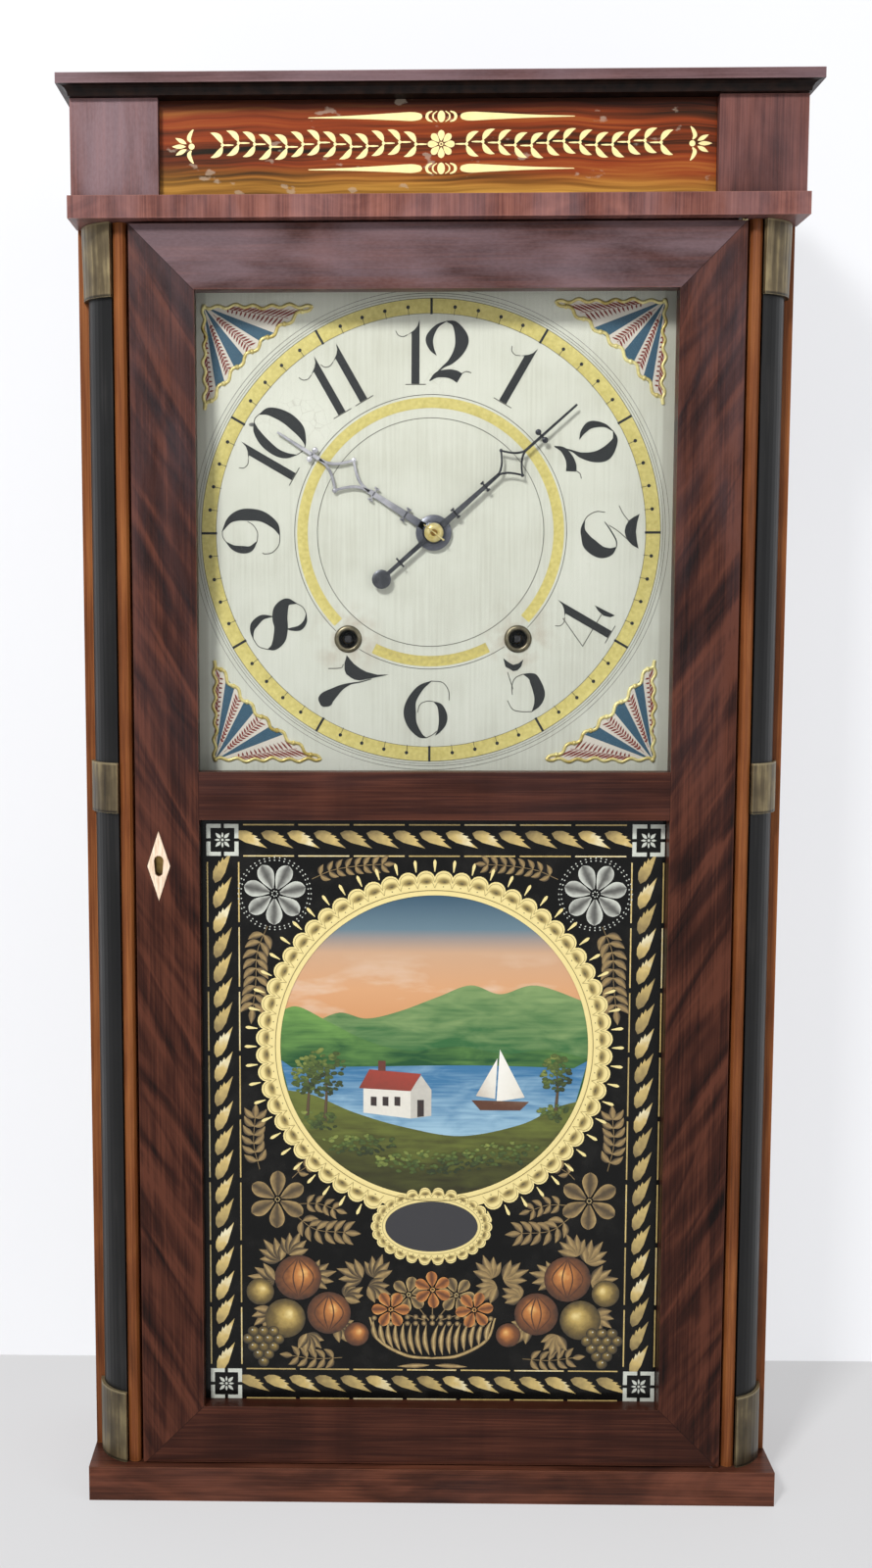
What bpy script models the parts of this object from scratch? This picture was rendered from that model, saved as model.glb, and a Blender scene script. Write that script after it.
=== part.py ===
"""Weight-driven shelf clock with sheet-iron quarter-round columns, built as its separate pieces.

Metres, +Z up, front towards -Y, origin under the middle of the case on the surface it stands on.
Depths are measured backwards from the front face of the closed door.
Wheel positions are measured from the centre arbor that carries the hands.
"""
import math

import bmesh
import bpy
from mathutils import Matrix, Vector
from mathutils.geometry import tessellate_polygon

GAP = 0.0003  # between pieces that rest on or against each other
RUNNING = 0.0004  # round a pivot or shaft that turns

# Case
HEIGHT = 0.940
CASE_DEPTH = 0.138  # door face to back
CORNICE_HALF = 0.2389
CORNICE_FRONT = 0.0166  # how far it stands out before the door face
CORNICE_BOARD = 0.0064
COVE_HEIGHT = 0.0060
COVE_FILLET = 0.0012
FRIEZE_HALF = 0.2318
FRIEZE_HEIGHT = 0.0604
FRIEZE_FRONT = 0.0054
FRIEZE_BLOCK = 0.0556
TABLET_SETBACK = 0.0012
TABLET_THICK = 0.0100
WAIST_HALF = 0.2337
WAIST_FRONT = 0.0096
WAIST_THICK = 0.0140
BASE_HALF = 0.2335
BASE_FRONT = 0.0053
BASE_THICK = 0.0239
SIDE_HALF = 0.2330
SIDE_THICK = 0.0062
SIDE_SETBACK = 0.0291
BACKBOARD_THICK = 0.0080
POST_INSET = 0.0194  # its outer face from the side panel
POST_THICK = 0.0092
POST_SETBACK = 0.0020
POST_DEPTH = 0.0380

# Columns and their bands
COLUMN_RADIUS = 0.0270
COLUMN_SHEET = 0.0010
COLUMN_TAIL = 0.0080
CAPITAL_HEIGHT = 0.0464
CAPITAL_THICK_LOW = 0.0026
CAPITAL_THICK_HIGH = 0.0038
MIDDLE_BAND_HEIGHT = 0.0333
MIDDLE_BAND_BOTTOM = 0.4733
BASE_BAND_HEIGHT = 0.0495
BAND_THICK = 0.0022

# Door
DOOR_SIDE_GAP = 0.0017
DOOR_THICK = 0.0190
DOOR_GAP_BELOW = 0.0015
DOOR_GAP_ABOVE = 0.0015
STILE_WIDTH = 0.0418
TOP_RAIL = 0.0412
MIDDLE_RAIL = 0.0316
BOTTOM_RAIL = 0.0398
MIDDLE_RAIL_BOTTOM = 0.4693
REBATE_WIDTH = 0.0055
REBATE_DEPTH = 0.0060
GLASS_THICK = 0.0020
HINGE_INSET = 0.0045
HINGE_DEPTH = 0.0035
HINGE_PIN_RADIUS = 0.00125
HINGE_IN_DOOR = 0.0150
HINGE_IN_CASE = 0.0080
ESCUTCHEON_INSET = 0.0150
ESCUTCHEON_Z = 0.4385
ESCUTCHEON_WIDTH = 0.0152
ESCUTCHEON_HEIGHT = 0.0465
ESCUTCHEON_THICK = 0.0015
ESCUTCHEON_PROUD = 0.0002
KEYHOLE_WIDTH = 0.0064
KEYHOLE_HEIGHT = 0.0138
LOCK_WIDTH = 0.0340
LOCK_HEIGHT = 0.0300
LOCK_DEPTH = 0.0078
BOLT_HEIGHT = 0.0130
BOLT_THICK = 0.0032
BOLT_LENGTH = 0.0240
BOLT_THROW = 0.0060

# Dial
DIAL_SETBACK = 0.0291
DIAL_THICK = 0.0070
DIAL_BOTTOM = 0.4905
DIAL_TOP = 0.8200
CENTRE_Z = 0.6574  # height of the centre arbor
DIAL_CENTRE_HOLE = 0.0065
WINDING_HOLE = 0.0058

# Hands
HAND_THICK = 0.0009
MINUTE_LENGTH = 0.1245
HOUR_LENGTH = 0.1222
MINUTE_TAIL = 0.0468
MINUTE_COUNTERPOISE = 0.0065
MINUTE_ANGLE = 48.4  # degrees clockwise from twelve, eight minutes past
HOUR_ANGLE = 302.5
MINUTE_HAND_DEPTH = 0.0232
HOUR_HAND_DEPTH = 0.0258
CENTRE_RADIUS = 0.0022
PIPE_RADIUS = 0.0042
PIPE_FRONT = 0.0250
CENTRE_FRONT = 0.0205
MINUTE_HUB = 0.0075
HOUR_HUB = 0.0118
MINUTE_SHAFT = 0.0034
HOUR_SHAFT = 0.0044
LOZENGE_HALF = 0.0115
MINUTE_FRAME = 0.0019
HOUR_FRAME = 0.0021
MINUTE_LOZENGE_LOW = 0.0570
MINUTE_LOZENGE_HIGH = 0.0795
MINUTE_BALL_BAR = 0.0945
HOUR_LOZENGE_LOW = 0.0525
HOUR_LOZENGE_HIGH = 0.0910
HOUR_BALL_BAR = 0.0950
HAND_HUB_BAR = 0.0190
HAND_MIDDLE_BAR = 0.0460
HAND_BAR_HALF = 0.0048

# Movement plates, depths as everywhere
FRONT_PLATE = 0.0460
PLATE_THICK = 0.0030
BACK_PLATE = 0.0970
PLATE_HALF = 0.0980
PLATE_TOP = 0.0800
PLATE_BOTTOM = 0.1120  # below the centre arbor
PLATE_BORDER = 0.0120
PILLAR_RADIUS = 0.0040
PILLAR_INSET = 0.0160
PIVOT_RADIUS = 0.0010
ARBOR_RADIUS = 0.0015

# Wheels: teeth and module
ADDENDUM = 0.80
DEDENDUM = 1.15
GREAT_TEETH = 48
GREAT_MODULE = 0.0015
SECOND_TEETH = 42
SECOND_MODULE = 0.00125
THIRD_TEETH = 42
THIRD_MODULE = 0.00115
FOURTH_TEETH = 40
FOURTH_MODULE = 0.00095
STRIKE_THIRD_TEETH = 36
STRIKE_THIRD_MODULE = 0.0012
CENTRE_TEETH = 24
CENTRE_DRIVER_TEETH = 14
CENTRE_MODULE = 0.0015
PINION_LEAVES = 6
CANNON_TEETH = 10
MINUTE_WHEEL_TEETH = 30
CANNON_MODULE = 0.00090
MINUTE_PINION_TEETH = 8
HOUR_WHEEL_TEETH = 32
ESCAPE_TEETH = 30
ESCAPE_RADIUS = 0.0173
ESCAPE_TOOTH = 0.0032
WHEEL_THICK = 0.0022
RIM_WIDTH = 0.0040
ARM_WIDTH = 0.0042
ARM_TAPER = 0.85
HUB_RADIUS = 0.0050
ARM_COUNT = 4
SECOND_ANGLE = -35.3  # of the second arbor seen from the third, degrees
GREAT_ANGLE = -80.8  # of the great wheel seen from the second arbor
THIRD_ANGLE = -26.5  # of the third arbor seen from the centre
FOURTH_ANGLE = 106.0  # of the fourth arbor seen from the third
MINUTE_WHEEL_ANGLE = 200.0  # of the minute wheel stud seen from the centre
FLY_ANGLE = 110.5  # of the fly arbor seen from the strike third arbor

# Layers of the wheels
GREAT_LAYER = 0.0510
CENTRE_WHEEL_LAYER = 0.0546
THIRD_LAYER = 0.0620
STRIKE_THIRD_LAYER = 0.0668
FOURTH_LAYER = 0.0712
ESCAPE_LAYER = 0.0800
SECOND_LAYER = 0.0896
PINION_MARGIN = 0.0014
CANNON_LAYER = 0.0420
HOUR_WHEEL_LAYER = 0.0376
MOTION_THICK = 0.0014

# Drums, weights and cords
DRUM_RADIUS = 0.0160
DRUM_FLANGE = 0.0200
DRUM_FRONT = 0.0574
DRUM_LENGTH = 0.0250
FLANGE_THICK = 0.0018
RATCHET_TEETH = 16
RATCHET_RADIUS = 0.0120
WINDING_ARBOR_RADIUS = 0.0032
WINDING_SQUARE = 0.0021
WINDING_FRONT = 0.0310
CORD_RADIUS = 0.0010
WEIGHT_RADIUS = 0.0240
WEIGHT_HEIGHT = 0.2000
WEIGHT_SIDE_GAP = 0.0030
WEIGHT_DEPTH = 0.0780
WEIGHT_REST = 0.0350
WEIGHT_NECK = 0.0025
WEIGHT_KNOB = 0.0050
WEIGHT_NECK_HEIGHT = 0.0060
PULLEY_RADIUS = 0.0120  # to the middle of the cord
PULLEY_THICK = 0.0060
PULLEY_FLANGE = 0.0026
PULLEY_DROP = 0.0540  # pulley axis below the top of the case
PULLEY_PIN = 0.0015
PULLEY_BOARD_THICK = 0.0120
PULLEY_BOARD_FRONT = 0.0500
PULLEY_BOARD_DEPTH = 0.0600
PULLEY_STUB = 0.0036
PULLEY_SLACK = 0.0030

# Verge, pendulum, strike
ANCHOR_REACH = 0.0188  # pallet tips from the escape arbor
PALLET_SPREAD = 48.7  # degrees from the upright to each pallet tip
ANCHOR_LAYER = 0.0797
VERGE_RISE = 0.0245  # verge above the escape arbor
ANCHOR_THICK = 0.0028
CRUTCH_LAYER = 0.1030
CRUTCH_LENGTH = 0.0600
CRUTCH_THICK = 0.0020
CRUTCH_HUB = 0.0034
CRUTCH_HALF = 0.0016
CRUTCH_FOOT = 0.0052
PRONG_THICK = 0.0014
EYE_RADIUS = 0.0042
EYE_THICK = 0.0030
COCK_WIDTH = 0.0080
EYE_LAP = 0.0014
PENDULUM_DEPTH = 0.1150
PENDULUM_ROD_RADIUS = 0.0013
PENDULUM_LENGTH = 0.5280
BOB_RADIUS = 0.0300
BOB_THICK = 0.0140
RATING_NUT_RADIUS = 0.0042
RATING_NUT_HEIGHT = 0.0050
BELL_X = -0.0600
BELL_DROP = 0.1500
BELL_RADIUS = 0.0350
BELL_FRONT = 0.1040
BELL_DEPTH = 0.0230
BELL_WALL = 0.0025
BELL_STUD = 0.0040
HAMMER_X = -0.0798
HAMMER_DROP = 0.0360
HAMMER_HEAD = 0.0060
HAMMER_CLEAR = 0.0012
HAMMER_STEM = 0.1000
HAMMER_HUB = 0.0034
HAMMER_THICK = 0.0016
STEM_HALF = 0.0014
TAIL_HALF = 0.0015
TAIL_CLEAR = 0.0012
HAMMER_LAYER = 0.1040
PIN_COUNT = 10
PIN_CIRCLE = 0.0226
STRIKE_PIN_RADIUS = 0.0012
STRIKE_PIN_LENGTH = 0.0030
FLY_RADIUS = 0.0130
FLY_VANE_THICK = 0.0012
FLY_LAYER = 0.0740
FLY_WIDTH = 0.0120

FACE_Y = (CORNICE_FRONT - CASE_DEPTH) / 2
BACK_Y = FACE_Y + CASE_DEPTH
FRIEZE_TOP = HEIGHT - CORNICE_BOARD - COVE_HEIGHT
WAIST_TOP = FRIEZE_TOP - FRIEZE_HEIGHT
WAIST_BOTTOM = WAIST_TOP - WAIST_THICK
SIDE_INNER = SIDE_HALF - SIDE_THICK
POST_OUTER = SIDE_INNER - POST_INSET
POST_INNER = POST_OUTER - POST_THICK
DOOR_HALF = POST_INNER - DOOR_SIDE_GAP
ESCUTCHEON_X = ESCUTCHEON_INSET - DOOR_HALF
PULLEY_Z = HEIGHT - PULLEY_DROP
BACKBOARD_FRONT = CASE_DEPTH - BACKBOARD_THICK


def depth_y(depth):
    return FACE_Y + depth


# Materials
def finish(name, colour, roughness, metallic=0.0, transmission=0.0):
    material = bpy.data.materials.new(name)
    material.use_nodes = True
    shader = material.node_tree.nodes["Principled BSDF"]
    shader.inputs["Base Color"].default_value = (*colour, 1.0)
    shader.inputs["Roughness"].default_value = roughness
    shader.inputs["Metallic"].default_value = metallic
    shader.inputs["Transmission Weight"].default_value = transmission
    return material


# Plan and face outlines: lists of (u, v) pairs, counter-clockwise
def rectangle(u0, u1, v0, v1):
    return [(u0, v0), (u1, v0), (u1, v1), (u0, v1)]


def circle(radius, count=12, centre=(0.0, 0.0)):
    turns = [2 * math.pi * (i + 0.5) / count for i in range(count)]
    return [(centre[0] + radius * math.cos(t), centre[1] + radius * math.sin(t)) for t in turns]


def arc(radius, start, end, count, centre=(0.0, 0.0)):
    """count + 1 points from angle start to angle end, in radians."""
    turns = [start + (end - start) * i / count for i in range(count + 1)]
    return [(centre[0] + radius * math.cos(t), centre[1] + radius * math.sin(t)) for t in turns]


def mirrored(outline, side):
    return [(u * side, v) for u, v in outline]


def moved(outline, by):
    return [(u + by[0], v + by[1]) for u, v in outline]


def turned(outline, angle):
    c, s = math.cos(angle), math.sin(angle)
    return [(u * c - v * s, u * s + v * c) for u, v in outline]


# Solids
def place(axis, u, v, level):
    """A point of an outline at a level: plan outlines rise along Z, face outlines go back along Y."""
    return (u, v, level) if axis == "Z" else (u, level, v)


def fill(bm, loops):
    """Closes a flat region: the first loop is its outer edge and the others are its holes."""
    corners = [vert for loop in loops for vert in loop]
    for triangle in tessellate_polygon([[vert.co for vert in loop] for loop in loops]):
        bm.faces.new([corners[i] for i in triangle])


def bridge(bm, first, second):
    for i in range(len(first)):
        j = (i + 1) % len(first)
        bm.faces.new((first[i], first[j], second[j], second[i]))


def ring(bm, axis, outline, level):
    return [bm.verts.new(place(axis, u, v, level)) for u, v in outline]


def new_object(name, bm, material, origin=(0.0, 0.0, 0.0)):
    bmesh.ops.recalc_face_normals(bm, faces=bm.faces)
    mesh = bpy.data.meshes.new(name)
    bm.to_mesh(mesh)
    bm.free()
    mesh.transform(Matrix.Translation(-Vector(origin)))
    mesh.materials.append(material)
    mesh.shade_smooth()
    mesh.set_sharp_from_angle(angle=math.radians(32))
    obj = bpy.data.objects.new(name, mesh)
    obj.location = origin
    bpy.context.scene.collection.objects.link(obj)
    return obj


def loft(name, axis, levels, material, origin=(0.0, 0.0, 0.0)):
    """Joins outlines of equal point count, each at its level, and closes the two ends."""
    bm = bmesh.new()
    rings = [ring(bm, axis, outline, level) for level, outline in levels]
    for first, second in zip(rings, rings[1:]):
        bridge(bm, first, second)
    fill(bm, [rings[0]])
    fill(bm, [rings[-1]])
    return new_object(name, bm, material, origin)


def stack(name, axis, slices, material, origin=(0.0, 0.0, 0.0)):
    """Slabs one on the next, each (start, end, outline, holes).

    A hole that runs on through the next slab is the same list there. Where two outlines differ,
    one lies inside the other, and the step between them is closed. So is the step round a hole
    that changes its size, given at the same place in both lists.
    """
    bm = bmesh.new()
    last = None
    for start, end, outline, holes in slices:
        outlines = [outline] + list(holes)
        lower = [None] * len(outlines)
        if last:
            lower = join_slabs(bm, axis, last, outlines, start)
        else:
            lower = [ring(bm, axis, item, start) for item in outlines]
            fill(bm, lower)
        upper = [ring(bm, axis, item, end) for item in outlines]
        for first, second in zip(lower, upper):
            bridge(bm, first, second)
        last = (outlines, upper)
    fill(bm, last[1])
    return new_object(name, bm, material, origin)


def join_slabs(bm, axis, last, outlines, level):
    """The lower rings of a slab, joined to the upper rings of the slab before it."""
    old_outlines, old_rings = last
    rings = []
    for i, outline in enumerate(outlines):
        if i < len(old_outlines) and outline is old_outlines[i]:
            rings.append(old_rings[i])
        else:
            rings.append(ring(bm, axis, outline, level))
    through = [i for i in range(1, min(len(outlines), len(old_outlines)))]
    for i in through:
        if rings[i] is not old_rings[i]:
            fill(bm, [old_rings[i], rings[i]])
    if rings[0] is not old_rings[0]:
        ends = [old_rings[i] for i in range(len(outlines), len(old_outlines))]
        starts = [rings[i] for i in range(len(old_outlines), len(outlines))]
        fill(bm, [old_rings[0], rings[0]] + ends + starts)
    return rings


def prisms(name, reach, outlines, material):
    """Separate straight bars along Y, as one helper for a Boolean."""
    bm = bmesh.new()
    for outline in outlines:
        rings = [ring(bm, "Y", outline, level) for level in reach]
        bridge(bm, rings[0], rings[1])
        fill(bm, [rings[0]])
        fill(bm, [rings[1]])
    return new_object(name, bm, material)


def box(name, x, y, z, material, origin=(0.0, 0.0, 0.0)):
    outline = rectangle(x[0], x[1], y[0], y[1])
    return stack(name, "Z", [(z[0], z[1], outline, [])], material, origin)


def helper(obj):
    obj.hide_render = True
    obj.display_type = "WIRE"
    return obj


def combine(obj, other, operation):
    """Cuts the helper from the object or fuses it on, as a live exact Boolean."""
    modifier = obj.modifiers.new(other.name, "BOOLEAN")
    modifier.operation = operation
    modifier.object = helper(other)


def cut(obj, other):
    combine(obj, other, "DIFFERENCE")


def fuse(obj, other):
    combine(obj, other, "UNION")


def tube_along(name, points, radius, material):
    """A cord as a round curve with closed ends."""
    curve = bpy.data.curves.new(name, "CURVE")
    curve.dimensions = "3D"
    curve.bevel_depth = radius
    curve.bevel_resolution = 1
    curve.use_fill_caps = True
    spline = curve.splines.new("POLY")
    spline.points.add(len(points) - 1)
    for point, position in zip(spline.points, points):
        point.co = (*position, 1.0)
    curve.materials.append(material)
    obj = bpy.data.objects.new(name, curve)
    bpy.context.scene.collection.objects.link(obj)
    return obj


# Clearing the scene and making the materials
for leftover in list(bpy.data.objects):
    bpy.data.objects.remove(leftover)

MAHOGANY = finish("mahogany veneer", (0.090, 0.028, 0.018), 0.30)
EDGE_WOOD = finish("mahogany edge", (0.230, 0.080, 0.035), 0.45)
PINE = finish("pine", (0.420, 0.290, 0.160), 0.70)
BLACK_IRON = finish("black japanned iron", (0.022, 0.024, 0.028), 0.35)
AGED_BRASS = finish("aged brass", (0.270, 0.220, 0.120), 0.45, 0.85)
BRASS = finish("brass", (0.560, 0.410, 0.160), 0.30, 1.0)
STEEL = finish("blued steel", (0.300, 0.330, 0.370), 0.35, 1.0)
IRON = finish("cast iron", (0.060, 0.058, 0.056), 0.60, 0.6)
DIAL_PAINT = finish("dial paint", (0.720, 0.730, 0.660), 0.50)
BONE = finish("bone", (0.830, 0.690, 0.540), 0.45)
GLASS = finish("window glass", (0.900, 0.950, 0.930), 0.05, 0.0, 1.0)
TABLET_PAINT = finish("painted tablet", (0.030, 0.030, 0.032), 0.25)
FRIEZE_PAINT = finish("grained frieze tablet", (0.330, 0.110, 0.035), 0.30)
CORD = finish("gut cord", (0.450, 0.330, 0.190), 0.70)


# Case
def build_case():
    base = box(
        "base_board",
        (-BASE_HALF, BASE_HALF),
        (depth_y(-BASE_FRONT), BACK_Y),
        (0.0, BASE_THICK),
        MAHOGANY,
    )
    panel_bottom = BASE_THICK + GAP
    panel_top = FRIEZE_TOP - GAP
    box(
        "backboard",
        (-SIDE_INNER + GAP, SIDE_INNER - GAP),
        (depth_y(BACKBOARD_FRONT), BACK_Y),
        (panel_bottom, panel_top),
        PINE,
    )
    waist = box(
        "waist_moulding",
        (-WAIST_HALF, WAIST_HALF),
        (depth_y(-WAIST_FRONT), depth_y(SIDE_SETBACK - GAP)),
        (WAIST_BOTTOM, WAIST_TOP),
        MAHOGANY,
    )
    for side, word in ((-1, "left"), (1, "right")):
        box(
            "side_panel_" + word,
            sorted((side * SIDE_INNER, side * SIDE_HALF)),
            (depth_y(SIDE_SETBACK), BACK_Y),
            (panel_bottom, panel_top),
            EDGE_WOOD,
        )
        post = column_post("column_post_" + word, side)
        if side < 0:
            cut_bolt_keep(post)
        frieze_block("frieze_block_" + word, side)
    box(
        "frieze_tablet",
        (-FRIEZE_HALF + FRIEZE_BLOCK + GAP, FRIEZE_HALF - FRIEZE_BLOCK - GAP),
        (depth_y(TABLET_SETBACK), depth_y(TABLET_SETBACK + TABLET_THICK)),
        (WAIST_TOP + GAP, FRIEZE_TOP - GAP),
        FRIEZE_PAINT,
    )
    cornice()
    hinge_pins(base, waist)


def column_post(name, side):
    """A narrow board on edge, with its front edge rounded over."""
    half = POST_THICK / 2
    front = depth_y(POST_SETBACK)
    centre = ((POST_INNER + half) * side, front + half)
    nose = arc(half, math.pi, 2 * math.pi, 6, centre)
    back = front + POST_DEPTH
    outline = nose + [(centre[0] + half, back), (centre[0] - half, back)]
    slab = (BASE_THICK + GAP, WAIST_BOTTOM - GAP, outline, [])
    return stack(name, "Z", [slab], EDGE_WOOD)


def cut_bolt_keep(post):
    """The mortise that the door bolt enters."""
    margin = 2 * GAP
    low_y = depth_y(DOOR_THICK - LOCK_DEPTH / 2 - BOLT_THICK / 2) - margin
    cutter = box(
        "bolt_keep_cutter",
        (-POST_OUTER - margin, -POST_INNER + margin),
        (low_y, low_y + BOLT_THICK + 2 * margin),
        (ESCUTCHEON_Z - BOLT_HEIGHT / 2 - margin, ESCUTCHEON_Z + BOLT_HEIGHT / 2 + margin),
        EDGE_WOOD,
    )
    cut(post, cutter)


def frieze_block(name, side):
    outer = FRIEZE_HALF * side
    box(
        name,
        sorted((outer, outer - FRIEZE_BLOCK * side)),
        (depth_y(-FRIEZE_FRONT), depth_y(SIDE_SETBACK - GAP)),
        (WAIST_TOP + GAP, FRIEZE_TOP - GAP),
        MAHOGANY,
    )


def cornice():
    """Top board with a fillet and a hollow under it, running round the front and both ends."""

    def level(z, inset):
        half = CORNICE_HALF - inset
        return (z, rectangle(-half, half, depth_y(-CORNICE_FRONT + inset), BACK_Y))

    board_bottom = HEIGHT - CORNICE_BOARD
    cove_width = CORNICE_HALF - COVE_FILLET - FRIEZE_HALF - GAP
    steps = 4
    levels = [level(HEIGHT, 0.0), level(board_bottom, 0.0), level(board_bottom, COVE_FILLET)]
    for i in range(1, steps + 1):
        turn = math.pi / 2 * i / steps
        inset = COVE_FILLET + cove_width * math.sin(turn)
        levels.append(level(board_bottom - COVE_HEIGHT * (1 - math.cos(turn)), inset))
    loft("cornice", "Z", levels, MAHOGANY)


def hinge_pins(base, waist):
    """Two wire pins on the door's axis, each in a hole of the case and a hole of the door."""
    x, y = hinge_place()
    spans = {
        "hinge_pin_upper": (WAIST_BOTTOM - HINGE_IN_DOOR, WAIST_BOTTOM + HINGE_IN_CASE),
        "hinge_pin_lower": (BASE_THICK - HINGE_IN_CASE, BASE_THICK + HINGE_IN_DOOR),
    }
    for (name, (low, high)), board in zip(spans.items(), (waist, base)):
        pin = [(low, high, circle(HINGE_PIN_RADIUS, 10, (x, y)), [])]
        stack(name, "Z", pin, STEEL)
        hole = [(low - GAP, high + GAP, circle(HINGE_PIN_RADIUS + RUNNING, 10, (x, y)), [])]
        cut(board, stack(name + "_hole", "Z", hole, STEEL))


def hinge_place():
    return (DOOR_HALF - HINGE_INSET, depth_y(HINGE_DEPTH))


# Columns
def column_centre():
    """Plan centre of the right column: its sheet ends against the side panel's inner face."""
    return (SIDE_INNER - GAP - COLUMN_RADIUS, depth_y(SIDE_SETBACK))


def post_turn(radius):
    """Angle at which a round of this radius reaches the post's outer face, with its gap."""
    return -math.acos((POST_OUTER + GAP - column_centre()[0]) / radius)


def column_outline():
    """A quarter-round sheet from the post's outer face to a short tail along the side panel."""
    centre = column_centre()
    inner = COLUMN_RADIUS - COLUMN_SHEET
    end = post_turn(inner)
    outer_face = arc(COLUMN_RADIUS, end, 0.0, 9, centre)
    inner_face = arc(inner, 0.0, end, 9, centre)
    tail = centre[1] + COLUMN_TAIL
    corners = [(centre[0] + COLUMN_RADIUS, tail), (centre[0] + inner, tail)]
    return outer_face + corners + inner_face


def band_outline(thick):
    """A brass sheet round the column, stopping before the side panel's front edge."""
    centre = column_centre()
    inner = COLUMN_RADIUS + GAP
    end = post_turn(inner)
    start = -math.asin(2 * GAP / inner)
    return arc(inner + thick, end, start, 8, centre) + arc(inner, start, end, 8, centre)


def build_columns():
    column_top = WAIST_BOTTOM - GAP
    column_bottom = BASE_THICK + GAP
    bands = (
        ("capital_band_", column_top - CAPITAL_HEIGHT, column_top, CAPITAL_THICK_LOW, CAPITAL_THICK_HIGH),
        ("middle_band_", MIDDLE_BAND_BOTTOM, MIDDLE_BAND_BOTTOM + MIDDLE_BAND_HEIGHT, BAND_THICK, BAND_THICK),
        ("base_band_", column_bottom, column_bottom + BASE_BAND_HEIGHT, BAND_THICK, BAND_THICK),
    )
    for side, word in ((-1, "left"), (1, "right")):
        sheet = mirrored(column_outline(), side)
        stack("stovepipe_column_" + word, "Z", [(column_bottom, column_top, sheet, [])], BLACK_IRON)
        for name, low, high, thick_low, thick_high in bands:
            levels = [
                (low, mirrored(band_outline(thick_low), side)),
                (high, mirrored(band_outline(thick_high), side)),
            ]
            loft(name + word, "Z", levels, AGED_BRASS)


# Door, on its hinge axis
def build_door():
    pivot = (*hinge_place(), 0.0)
    low = BASE_THICK + DOOR_GAP_BELOW
    high = WAIST_BOTTOM - DOOR_GAP_ABOVE
    opening = DOOR_HALF - STILE_WIDTH
    middle_top = MIDDLE_RAIL_BOTTOM + MIDDLE_RAIL
    upper = (-opening, opening, middle_top, high - TOP_RAIL)
    lower = (-opening, opening, low + BOTTOM_RAIL, MIDDLE_RAIL_BOTTOM)
    outline = rectangle(-DOOR_HALF, DOOR_HALF, low, high)
    sights = [rectangle(*upper), rectangle(*lower)]
    rebates = [rectangle(*grown(area, REBATE_WIDTH)) for area in (upper, lower)]
    rebate_y = depth_y(DOOR_THICK - REBATE_DEPTH)
    slices = [
        (FACE_Y, rebate_y, outline, sights),
        (rebate_y, depth_y(DOOR_THICK), outline, rebates),
    ]
    frame = stack("door_frame", "Y", slices, MAHOGANY, pivot)
    for name, area, material in (("dial_glass", upper, GLASS), ("tablet_glass", lower, TABLET_PAINT)):
        pane = rectangle(*grown(area, REBATE_WIDTH - GAP))
        start = rebate_y + GAP
        stack(name, "Y", [(start, start + GLASS_THICK, pane, [])], material, pivot)
    x, y = hinge_place()
    for name, level in (("door_top_hole", WAIST_BOTTOM), ("door_bottom_hole", BASE_THICK)):
        reach = HINGE_IN_DOOR + 2 * GAP
        hole = [(level - reach, level + reach, circle(HINGE_PIN_RADIUS + RUNNING, 10, (x, y)), [])]
        cut(frame, stack(name, "Z", hole, STEEL))
    build_lock(frame, pivot)


def grown(area, by):
    return (area[0] - by, area[1] + by, area[2] - by, area[3] + by)


def keyhole_outline():
    """A slot with round ends, a little narrower below."""
    top = KEYHOLE_WIDTH / 2
    bottom = 0.8 * top
    rise = KEYHOLE_HEIGHT / 2
    upper = arc(top, 0.0, math.pi, 5, (ESCUTCHEON_X, ESCUTCHEON_Z + rise - top))
    lower = arc(bottom, math.pi, 2 * math.pi, 5, (ESCUTCHEON_X, ESCUTCHEON_Z - rise + bottom))
    return upper + lower


def diamond(width, height):
    half, rise = width / 2, height / 2
    corners = [(-half, 0.0), (0.0, -rise), (half, 0.0), (0.0, rise)]
    return moved(corners, (ESCUTCHEON_X, ESCUTCHEON_Z))


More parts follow.
